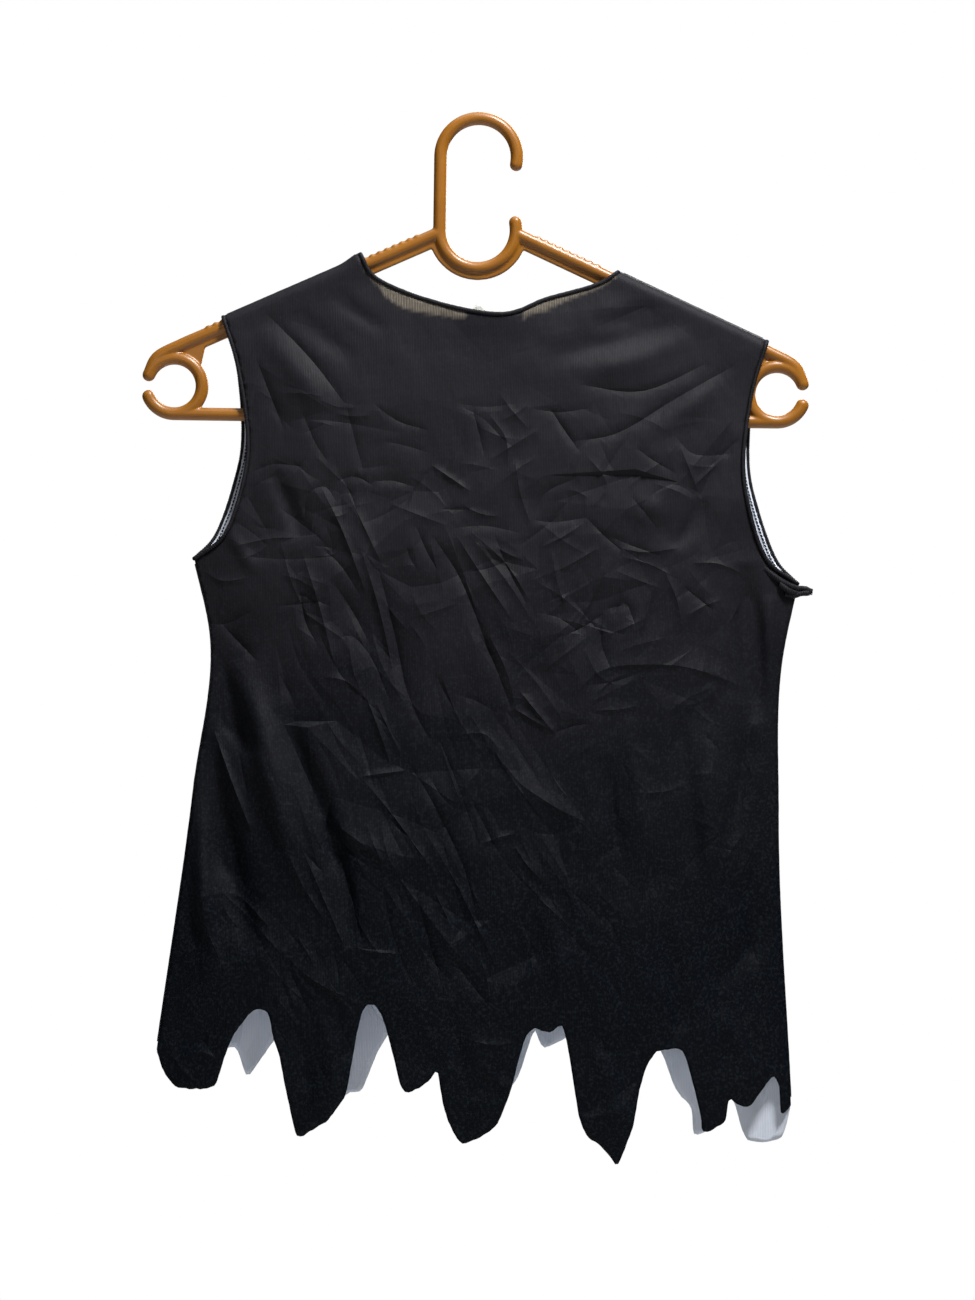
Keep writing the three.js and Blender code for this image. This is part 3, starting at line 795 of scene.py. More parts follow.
    def armhole(self, facing: Facing, side: Side) -> Array:
        """Returns one armhole from the shoulder to the underarm."""
        x = self.shoulder_x(side)
        top, foot = np.array([x, float(self.shoulder_z(x))]), np.array(self.underarm(side))
        inner = [top + share * (foot - top) - (side.value * inset, 0) for share, inset in self.armholes[facing]]
        return smooth_line([top, *inner, foot], 2.0)

    def side_seam(self, side: Side) -> Array:
        """Returns one side seam from the underarm to the hem corner."""
        z = np.linspace(self.underarm(side)[1], self.hem_corner(side)[1], 120)
        return np.stack([self.side_x(side, z), z], axis=1)

    def hem(self, facing: Facing) -> Array:
        """Returns the tattered hem from left to right, cut by hand, so a little uneven."""
        left, right = (np.array(self.hem_corner(side)) for side in Side)
        corners = [left + share * (right - left) - (0, drop) for share, drop in self.hems[facing]]
        line = smooth_line(corners, 1.6, roundness=0.6)
        shake = NoiseField(30 + facing.value, 3.5).read(line[:, 0] * 1.7, line[:, 1] * 1.7)
        line[1:-1, 1] += 0.55 * shake[1:-1]
        return line


# ---------------------------------------------------------------- how the cloth lies


class Profile(Enum):
    """The section of a crease."""

    PINCH = 1
    FOLD = 2
    STEP = 3


@dataclass(frozen=True)
class Crease:
    """A crease pressed into the cloth, in millimetres, raised outwards where its height is positive."""

    path: tuple
    height: float
    width: float
    profile: Profile = Profile.PINCH

    def press(self, x: Array, z: Array, relief: Array) -> None:
        """Adds the crease to the relief.

        Args:
            x: The sideways places of the cloth's points.
            z: Their heights on the flat cloth.
            relief: How far each point stands out, which is changed.
        """
        line = smooth_line(self.path, 4.0)
        reach = 4.5 * self.width
        near = (
            (x > line[:, 0].min() - reach) & (x < line[:, 0].max() + reach)
            & (z > line[:, 1].min() - reach) & (z < line[:, 1].max() + reach)
        )
        if not near.any():
            return
        px, pz = x[near][:, None], z[near][:, None]
        start, run = line[:-1], np.diff(line, axis=0)
        length2 = (run**2).sum(1)
        t = np.clip(((px - start[:, 0]) * run[:, 0] + (pz - start[:, 1]) * run[:, 1]) / length2, 0, 1)
        dx, dz = px - start[:, 0] - t * run[:, 0], pz - start[:, 1] - t * run[:, 1]
        distance = np.sqrt(dx**2 + dz**2)
        best = distance.argmin(1)
        rows = np.arange(len(best))
        gap = distance[rows, best]
        along = (best + t[rows, best]) / len(run)
        cross = (run[best, 0] * dz[rows, best] - run[best, 1] * dx[rows, best]) > 0
        taper = np.clip(np.sin(math.pi * np.clip(along, 0.0, 1.0)), 0, 1) ** 0.7
        if self.profile is Profile.PINCH:
            rise = 0.6 * np.exp(-gap / (0.55 * self.width))
        elif self.profile is Profile.FOLD:
            rise = np.exp(-((gap / self.width) ** 2))
        else:
            rise = 0.42 * np.exp(-gap / np.where(cross, 2.2 * self.width, 0.55 * self.width))
        relief[near] += self.height * taper * rise


PINCH, FOLD, STEP = Profile.PINCH, Profile.FOLD, Profile.STEP

# The back's creases, as they fell when the tunic was unpacked and hung: (path, height, width, profile).
BACK_CREASES = (
    # The left shoulder's fan of soft folds.
    (((-124, -114), (-98, -140), (-76, -168)), -2.0, 4.5, PINCH),
    (((-128, -122), (-104, -150), (-86, -172)), 1.6, 7, FOLD),
    (((-130, -140), (-122, -160), (-112, -184)), -1.7, 4.5, PINCH),
    (((-108, -112), (-90, -128), (-70, -140)), -1.1, 6, FOLD),
    (((-84, -100), (-72, -112), (-52, -124)), -1.0, 4.5, FOLD),
    (((-102, -172), (-94, -190), (-86, -202)), -1.3, 3.5, PINCH),
    (((-110, -176), (-80, -178), (-44, -184)), -1.2, 3.2, STEP),
    (((-76, -168), (-70, -190), (-64, -212)), -1.2, 3.5, PINCH),
    # The right shoulder's fan.
    (((136, -140), (98, -157), (60, -154)), -1.8, 4.2, PINCH),
    (((154, -140), (118, -161), (84, -182), (54, -188)), -2.4, 4.6, PINCH),
    (((146, -150), (120, -170), (96, -186)), 1.5, 7, FOLD),
    (((130, -112), (80, -128), (36, -140)), -1.6, 7, FOLD),
    (((120, -102), (90, -114), (66, -118)), -1.4, 5.5, FOLD),
    (((126, -124), (90, -140), (56, -146)), 1.4, 7, FOLD),
    # The crumpled band across the shoulder blades.
    (((-132, -208), (-118, -203), (-98, -205)), -1.3, 3, PINCH),
    (((-62, -213), (-48, -212), (-34, -216)), -2.4, 2.6, STEP),
    (((-82, -213), (-70, -210), (-58, -216)), -1.3, 3, PINCH),
    (((-120, -204), (-110, -226), (-98, -250)), -2.2, 5, FOLD),
    (((-100, -240), (-98, -222), (-88, -216), (-80, -226)), -1.4, 3.2, PINCH),
    (((-144, -257), (-108, -259), (-72, -256)), -1.4, 3, STEP),
    (((-142, -252), (-120, -247), (-98, -246)), 1.1, 2.6, PINCH),
    (((-90, -252), (-78, -262), (-66, -280)), -1.4, 3, PINCH),
    (((-26, -202), (-14, -210), (-2, -218)), 1.8, 2.4, PINCH),
    (((-12, -166), (4, -168), (24, -166)), -1.1, 2.8, STEP),
    (((-2, -168), (2, -182), (6, -198)), -1.5, 2.8, PINCH),
    (((8, -172), (18, -186), (20, -204)), 1.2, 3, PINCH),
    (((-14, -240), (6, -238), (28, -242)), -1.7, 3, STEP),
    (((10, -248), (20, -254), (30, -258)), 1.2, 2.6, PINCH),
    (((24, -200), (27, -218), (34, -238)), 1.3, 3, PINCH),
    (((34, -234), (48, -235), (68, -232)), -2.4, 3, STEP),
    (((66, -232), (76, -242), (88, -252)), -1.5, 3, PINCH),
    (((36, -232), (42, -218), (60, -209)), -1.2, 3, PINCH),
    (((40, -250), (52, -244), (64, -236)), 1.4, 2.6, PINCH),
    (((44, -168), (52, -180), (62, -194)), -1.9, 2.8, PINCH),
    (((66, -196), (78, -212), (70, -226)), 1.2, 3, PINCH),
    (((92, -250), (98, -226), (116, -212), (134, -220)), -1.9, 3.6, STEP),
    (((134, -220), (128, -236), (118, -250)), -1.8, 5, FOLD),
    (((86, -250), (102, -252), (122, -249)), 2.2, 3.2, STEP),
    (((112, -236), (104, -226), (100, -236)), 1.0, 6, FOLD),
    (((118, -184), (130, -194), (154, -193)), -1.7, 3, STEP),
    (((120, -188), (126, -202), (132, -216)), 1.5, 2.6, PINCH),
    (((148, -194), (138, -204), (128, -214)), 1.3, 2.4, PINCH),
    (((128, -258), (144, -258), (160, -264)), 1.3, 2.6, PINCH),
    # The middle's crossing facets.
    (((112, -262), (104, -282), (98, -302)), 1.7, 3.2, PINCH),
    (((112, -262), (120, -280), (124, -300)), 1.6, 3.2, PINCH),
    (((124, -272), (132, -278), (142, -286)), -1.7, 2.8, PINCH),
    (((80, -254), (72, -276), (58, -302)), 1.2, 3.2, PINCH),
    (((38, -288), (52, -292), (66, -302)), -1.8, 3, STEP),
    (((54, -302), (66, -296), (78, -288)), -1.4, 2.8, PINCH),
    (((76, -290), (76, -306), (82, -322)), -1.8, 3, PINCH),
    (((82, -288), (90, -282), (96, -296)), -1.7, 3, PINCH),
    (((58, -338), (76, -322), (100, -318), (130, -320), (164, -332)), 3.0, 3.6, STEP),
    (((28, -334), (38, -346), (50, -360)), 2.2, 2.6, PINCH),
    (((24, -344), (34, -350), (48, -358)), 1.7, 2.4, PINCH),
    (((46, -252), (50, -272), (58, -292)), 1.1, 3, PINCH),
    (((-24, -244), (-6, -272), (14, -322)), -2.4, 3.6, PINCH),
    (((-10, -244), (6, -268), (24, -294)), 1.8, 3.2, PINCH),
    (((-34, -238), (-28, -252), (-20, -266)), -1.5, 2.8, PINCH),
    (((12, -242), (20, -262), (32, -284)), -1.3, 3, PINCH),
    (((0, -294), (12, -316), (24, -346)), -2.2, 3.6, PINCH),
    (((10, -302), (20, -322), (26, -342)), 1.4, 3, PINCH),
    # Long streaks down the left of the middle.
    (((-90, -216), (-76, -244), (-62, -280)), 2.0, 3.2, PINCH),
    (((-74, -220), (-64, -240), (-52, -264)), 1.7, 3, PINCH),
    (((-66, -252), (-54, -290), (-44, -334)), 2.3, 3.2, PINCH),
    (((-56, -262), (-46, -300), (-36, -346)), -1.9, 3.2, PINCH),
    (((-100, -256), (-90, -286), (-80, -322)), 2.0, 3.6, PINCH),
    (((-102, -276), (-98, -296), (-90, -310)), -1.9, 3.6, PINCH),
    (((-82, -272), (-70, -290), (-58, -312)), -1.5, 3, PINCH),
    (((-80, -306), (-70, -304), (-58, -318), (-46, -346)), -1.4, 2.8, PINCH),
    (((-62, -338), (-54, -358), (-46, -380)), 2.0, 2.4, PINCH),
    (((-56, -342), (-48, -358), (-40, -374)), 1.6, 2.2, PINCH),
    (((-88, -328), (-74, -330), (-62, -340)), 1.3, 2.8, PINCH),
    (((-64, -386), (-52, -384), (-38, -382)), 1.9, 2.0, PINCH),
    (((-62, -388), (-42, -412), (-18, -444)), 1.7, 2.6, PINCH),
    (((-36, -378), (-22, -400), (-4, -436), (4, -462)), -2.0, 3.2, PINCH),
    (((-20, -360), (-8, -388), (6, -426)), -1.9, 3.4, PINCH),
    (((-18, -366), (-10, -388), (-4, -404)), 1.6, 2.8, PINCH),
    (((-14, -362), (8, -360), (22, -376)), 1.1, 2.6, PINCH),
    (((8, -364), (22, -380), (34, -392), (70, -414)), 2.4, 3.0, STEP),
    (((8, -424), (18, -420), (28, -418)), 1.5, 2.2, PINCH),
    (((26, -424), (34, -436), (46, -448)), 1.9, 2.6, PINCH),
    (((0, -398), (8, -412), (16, -428)), -1.7, 3, PINCH),
    (((-24, -420), (-6, -450), (18, -498)), 2.4, 3.4, PINCH),
    (((-20, -452), (-14, -464), (-8, -476)), 1.8, 2.2, PINCH),
    (((-34, -440), (-26, -470), (-14, -510)), -1.7, 3.6, PINCH),
    (((-8, -492), (2, -506), (14, -520)), -1.3, 3.2, PINCH),
    (((42, -456), (52, -482), (56, -516)), 2.0, 6, FOLD),
    # The left flank's deep soft folds.
    (((-166, -296), (-150, -336), (-128, -376)), -5.2, 8, FOLD),
    (((-138, -318), (-122, -366), (-108, -420), (-98, -456)), 5.4, 9, FOLD),
    (((-112, -346), (-96, -384), (-78, -430), (-66, -486)), -4.2, 6, FOLD),
    (((-152, -360), (-142, -386), (-128, -420)), 4.0, 3.0, PINCH),
    (((-156, -366), (-146, -420), (-124, -492)), -5.4, 9, FOLD),
    (((-168, -372), (-160, -440), (-148, -512)), 4.2, 7, FOLD),
    (((-172, -440), (-164, -470), (-152, -500)), -2.2, 6, FOLD),
    (((-88, -408), (-64, -424), (-38, -444)), 2.6, 2.8, STEP),
    (((-84, -414), (-72, -428), (-60, -438)), -2.0, 3.2, PINCH),
    (((-80, -396), (-84, -414), (-80, -440)), -1.7, 3, PINCH),
    (((-102, -420), (-90, -446), (-72, -486)), 2.0, 3.0, PINCH),
    (((-106, -432), (-96, -452), (-82, -474)), 1.8, 2.6, PINCH),
    (((-78, -428), (-70, -452), (-62, -482)), -2.0, 3.4, PINCH),
    (((-112, -486), (-92, -504), (-60, -520)), 3.2, 3.4, STEP),
    (((-66, -486), (-54, -488), (-40, -489)), 1.3, 1.9, PINCH),
    (((-140, -456), (-130, -462), (-116, -476)), 1.8, 3.2, PINCH),
    (((-170, -556), (-156, -550), (-142, -556)), 1.8, 3.4, PINCH),
    (((-176, -548), (-168, -560), (-160, -566)), 1.6, 2.8, PINCH),
    # The tatters' own lines.
    (((-118, -530), (-110, -556), (-104, -584)), 1.5, 4, FOLD),
    (((-102, -524), (-94, -556), (-92, -586)), -1.6, 4.5, FOLD),
    (((-88, -520), (-80, -546), (-78, -572)), 1.3, 4, FOLD),
    (((0, -538), (14, -541), (28, -540)), 1.2, 2.2, PINCH),
    (((6, -552), (18, -562), (28, -570)), 1.2, 3, FOLD),
    (((-10, -520), (-4, -546), (4, -574)), -1.4, 4.5, FOLD),
    (((70, -540), (84, -560), (88, -592)), 1.4, 5, FOLD),
    # The right flank hangs smoother, in long soft folds.
    (((80, -372), (84, -408), (92, -446)), -2.4, 5.5, FOLD),
    (((92, -348), (98, -392), (108, -440)), 1.8, 5.5, FOLD),
    (((122, -344), (128, -392), (134, -444)), -2.0, 5.5, FOLD),
    (((140, -352), (142, -410), (146, -470)), 1.9, 7, FOLD),
    (((162, -342), (160, -380), (152, -424)), -2.6, 5.5, FOLD),
    (((178, -456), (166, -484), (146, -508)), -2.6, 8, FOLD),
    (((114, -470), (122, -500), (126, -534)), -1.6, 5, FOLD),
    (((150, -520), (160, -540), (168, -556)), 1.5, 6, FOLD),
    # Puckers at the underarms.
    (((160, -258), (164, -300), (170, -352)), -5.0, 7.5, FOLD),
    (((174, -276), (176, -300), (178, -336)), 2.6, 4.5, FOLD),
    (((-164, -288), (-150, -298), (-130, -290)), -1.8, 3.4, PINCH),
    (((-150, -296), (-140, -306), (-126, -320)), -1.9, 3.4, PINCH),
    (((-160, -266), (-148, -272), (-132, -270)), 1.3, 3, PINCH),
    (((-148, -240), (-138, -252), (-128, -268)), 1.3, 4, FOLD),
)


@dataclass(frozen=True)
class FacetPatch:
    """A stretch of crushed cloth whose facets lean one way, in millimetres."""

    x: Pair
    z: Pair
    lean: float
    facet: Pair
    height: float

    def knots(self, random: np.random.Generator) -> Array:
        """Returns the corners of the patch's facets: rows of x, z and height, on a shaken grid that leans.

        Args:
            random: The seeded source.

        Returns:
            The corners.
        """
        middle = np.array([sum(self.x) / 2, sum(self.z) / 2])
        reach = math.hypot(self.x[1] - self.x[0], self.z[1] - self.z[0]) / 2
        counts = [math.ceil(reach / size) for size in self.facet]
        u, v = np.meshgrid(*(np.arange(-count, count + 1.0) for count in counts))
        u = (u + random.uniform(-0.36, 0.36, u.shape)) * self.facet[0]
        v = (v + random.uniform(-0.36, 0.36, v.shape)) * self.facet[1]
        cos, sin = math.cos(math.radians(self.lean)), math.sin(math.radians(self.lean))
        x, z = middle[0] + u * cos - v * sin, middle[1] + u * sin + v * cos
        kept = (x > self.x[0]) & (x < self.x[1]) & (z > self.z[0]) & (z < self.z[1])
        return np.stack([x[kept], z[kept], random.uniform(-self.height, self.height, kept.sum())], axis=1)


class FacetNet:
    """Flat facets with sharp borders between them, which is how thin cloth stays where it was crushed."""

    def __init__(self, patches: Sequence[FacetPatch], seed: int) -> None:
        """Draws the facets and joins their corners up.

        Args:
            patches: The patches, which lie side by side.
            seed: The seed.
        """
        random = np.random.default_rng(seed)
        frame_x, frame_z = np.meshgrid(np.linspace(-260, 270, 7), np.linspace(-700, 20, 9))
        border = np.stack([frame_x.ravel(), frame_z.ravel(), 0 * frame_x.ravel()], axis=1)
        outer = (np.abs(border[:, 0] - 5) > 230) | (border[:, 1] > -40) | (border[:, 1] < -650)
        self.knots = np.vstack([*(patch.knots(random) for patch in patches), border[outer]])
        made = delaunay_2d_cdt([Vector(knot) for knot in self.knots[:, :2]], [], [], 0, 1e-4)
        self.edges, self.faces = made[1], [list(face) for face in made[2]]

    def press(self, x: Array, z: Array, relief: Array) -> None:
        """Adds the facets to the relief.

        Args:
            x: The sideways places of the cloth's points.
            z: Their heights on the flat cloth.
            relief: How far each point stands out, which is changed.
        """
        rise = np.zeros(len(x))
        for face in self.faces:
            (ax, az, ah), (bx, bz, bh), (cx, cz, ch) = self.knots[face]
            near = np.flatnonzero(
                (x >= min(ax, bx, cx)) & (x <= max(ax, bx, cx))
                & (z >= min(az, bz, cz)) & (z <= max(az, bz, cz))
            )
            whole = (bx - ax) * (cz - az) - (cx - ax) * (bz - az)
            if not len(near) or abs(whole) < 1e-6:
                continue
            v = ((x[near] - ax) * (cz - az) - (cx - ax) * (z[near] - az)) / whole
            w = ((bx - ax) * (z[near] - az) - (x[near] - ax) * (bz - az)) / whole
            held = (v >= -1e-6) & (w >= -1e-6) & (v + w <= 1 + 1e-6)
            rise[near[held]] = (ah + v * (bh - ah) + w * (ch - ah))[held]
        relief += rise

    def lines(self, step: float) -> list[Array]:
        """Returns the borders of the facets as evenly stepped lines."""
        ends = (self.knots[list(edge), :2] for edge in self.edges)
        return [even_steps(pair, step) for pair in ends if np.linalg.norm(pair[1] - pair[0]) < 110]


BACK_PATCHES = (
    FacetPatch((-135, 155), (-205, -100), -28, (44, 27), 0.9),
    FacetPatch((-125, 60), (-290, -205), 38, (25, 15), 1.4),
    FacetPatch((60, 160), (-350, -205), -52, (28, 17), 1.5),
    FacetPatch((-100, 60), (-430, -290), -64, (44, 13), 1.6),
    FacetPatch((60, 185), (-600, -350), -87, (84, 19), 1.8),
    FacetPatch((-60, 60), (-600, -430), -68, (44, 15), 1.6),
    FacetPatch((-190, -60), (-600, -430), -64, (56, 20), 1.7),
    FacetPatch((-170, -100), (-430, -205), -66, (46, 22), 1.3),
)
FRONT_PATCHES = (
    FacetPatch((-135, 155), (-200, -100), 25, (44, 27), 0.8),
    FacetPatch((-155, 165), (-350, -200), 48, (30, 17), 1.4),
    FacetPatch((-190, 0), (-600, -350), -70, (56, 18), 1.5),
    FacetPatch((0, 190), (-600, -350), -100, (64, 20), 1.5),
)


@dataclass(frozen=True)
class CrumpleZone:
    """A stretch of cloth strewn with small creases, in millimetres."""

    count: int
    x: Pair
    z: Pair
    lean: Pair
    length: Pair
    height: float
    width: Pair

    def creases(self, random: np.random.Generator) -> list[Crease]:
        """Draws the zone's creases.

        Args:
            random: The seeded source.

        Returns:
            The creases.
        """
        made = []
        for _ in range(self.count):
            x, z = random.uniform(*self.x), random.uniform(*self.z)
            lean = math.radians(random.uniform(*self.lean))
            half = random.uniform(*self.length) / 2
            bow = random.uniform(-0.16, 0.16) * half
            ux, uz = math.cos(lean), math.sin(lean)
            start, end = (x - half * ux, z - half * uz), (x + half * ux, z + half * uz)
            path = (start, (x - bow * uz, z + bow * ux), end)
            height = self.height * random.uniform(0.4, 1.0) * random.choice((-1, 1))
            profile = (PINCH, PINCH, STEP)[int(random.integers(3))]
            made.append(Crease(path, height, random.uniform(*self.width), profile))
        return made


BACK_ZONES = (
    CrumpleZone(70, (-110, 130), (-300, -165), (-80, 80), (12, 40), 1.1, (2.0, 3.2)),
    CrumpleZone(60, (-110, 60), (-480, -260), (-75, -48), (20, 70), 1.1, (2.2, 3.6)),
    CrumpleZone(26, (-20, 150), (-350, -250), (-70, 70), (14, 36), 1.0, (2.0, 3.2)),
    CrumpleZone(26, (40, 175), (-540, -340), (-100, -76), (40, 110), 0.9, (3.0, 5.0)),
    CrumpleZone(18, (-170, -60), (-560, -480), (-80, -50), (16, 50), 0.9, (2.4, 4.0)),
    CrumpleZone(44, (50, 172), (-440, -190), (-75, 75), (12, 38), 1.1, (2.0, 3.2)),
    CrumpleZone(56, (-150, 90), (-560, -380), (-78, -42), (18, 62), 1.2, (2.0, 3.6)),
    CrumpleZone(24, (-155, -70), (-260, -150), (-60, 60), (12, 34), 0.9, (2.0, 3.0)),
)
FRONT_ZONES = (
    CrumpleZone(16, (-130, 150), (-190, -120), (-60, 60), (30, 70), 1.2, (4.0, 7.0)),
    CrumpleZone(110, (-130, 150), (-330, -170), (-80, 80), (14, 48), 1.3, (2.2, 3.6)),
    CrumpleZone(110, (-150, 160), (-560, -300), (-105, -62), (24, 90), 1.4, (2.4, 4.6)),
    CrumpleZone(14, (-150, 160), (-560, -360), (-98, -78), (110, 190), 3.4, (7.0, 11.0)),
)


class Drape:
    """A cloth simulation of one panel as an uncut sheet, which gives the slow swell and hang of the cloth."""

    CELL = 6.0
    LEFT, RIGHT, TOP, FOOT = -198.0, 210.0, -72.0, -618.0
    FRAMES = 26
    GROWTH = -0.045
    CAP = 5.0

    def __init__(self, surface: "ClothSurface") -> None:
        """Hangs the sheet and keeps how far each of its points moved, in millimetres.

        Args:
            surface: The surface before it is draped.
        """
        self.columns = round((self.RIGHT - self.LEFT) / self.CELL) + 1
        self.rows = round((self.TOP - self.FOOT) / self.CELL) + 1
        x, z = np.meshgrid(
            np.linspace(self.LEFT, self.RIGHT, self.columns), np.linspace(self.TOP, self.FOOT, self.rows)
        )
        self.x, self.z = x.ravel(), z.ravel()
        moved = np.zeros((self.rows * self.columns, 3))
        moved = self.hang(surface)
        self.grid = self.settle(moved, surface.cut).reshape(self.rows, self.columns, 3)

    def hang(self, surface: "ClothSurface") -> Array:
        """Runs the simulation.

        Args:
            surface: The surface before it is draped.

        Returns:
            How far each point of the sheet moved, in millimetres.
        """
        start = surface.base(self.x, self.z)
        quads = grid_quads(self.rows, self.columns)
        mesh = bpy.data.meshes.new("drape")
        mesh.from_pydata((start * MM).tolist(), [], quads.tolist())
        sheet = bpy.data.objects.new("drape", mesh)
        bpy.context.scene.collection.objects.link(sheet)
        pins = sheet.vertex_groups.new(name="pins")
        for vertex, weight in enumerate(self.pinning(surface.cut)):
            pins.add([vertex], float(weight), "REPLACE")
        cloth = sheet.modifiers.new("cloth", "CLOTH")
        settings = cloth.settings
        settings.quality = 6
        settings.mass = 0.12
        settings.tension_stiffness = settings.compression_stiffness = 22
        settings.shear_stiffness = 6
        settings.bending_stiffness = 0.35
        settings.vertex_group_mass = "pins"
        settings.shrink_min = self.GROWTH
        cloth.collision_settings.use_collision = False
        scene = bpy.context.scene
        scene.frame_start, scene.frame_end = 1, self.FRAMES
        cloth.point_cache.frame_start, cloth.point_cache.frame_end = 1, self.FRAMES
        for step in range(1, self.FRAMES + 1):
            scene.frame_set(step)
        hung = sheet.evaluated_get(bpy.context.evaluated_depsgraph_get()).to_mesh()
        end = np.zeros(len(hung.vertices) * 3, np.float32)
        hung.vertices.foreach_get("co", end)
        bpy.data.objects.remove(sheet)
        scene.frame_set(1)
        return end.reshape(-1, 3) / MM - start

    def pinning(self, cut: TunicCut) -> Array:
        """Returns how firmly each point is held: at the arms, at the side seams and off the cloth."""
        above = smoothstep(self.z, cut.hanger.arm_z(self.x) - 22, cut.hanger.arm_z(self.x) - 4)
        inset = 12.0
        left, right = (cut.side_x(side, self.z) for side in Side)
        beside = 1 - smoothstep(np.minimum(self.x - left, right - self.x), 0.0, inset)
        return np.clip(np.maximum(above, beside), 0, 1)

    def settle(self, moved: Array, cut: TunicCut) -> Array:
        """Evens out the movement and caps it.

        Args:
            moved: How far each point moved.
            cut: The tunic's cut.

        Returns:
            The capped movement.
        """
        moved = moved * np.array([0.35, 1.0, 0.35])
        far = np.linalg.norm(moved, axis=1, keepdims=True) + 1e-9
        return moved * (self.CAP * np.tanh(far / self.CAP) / far) * (1 - self.pinning(cut))[:, None]

    def read(self, x: Array, z: Array) -> Array:
        """Returns how far the cloth moved at places on the flat panel, in millimetres."""
        return read_grid(self.grid, (x - self.LEFT) / self.CELL, (self.TOP - z) / self.CELL)


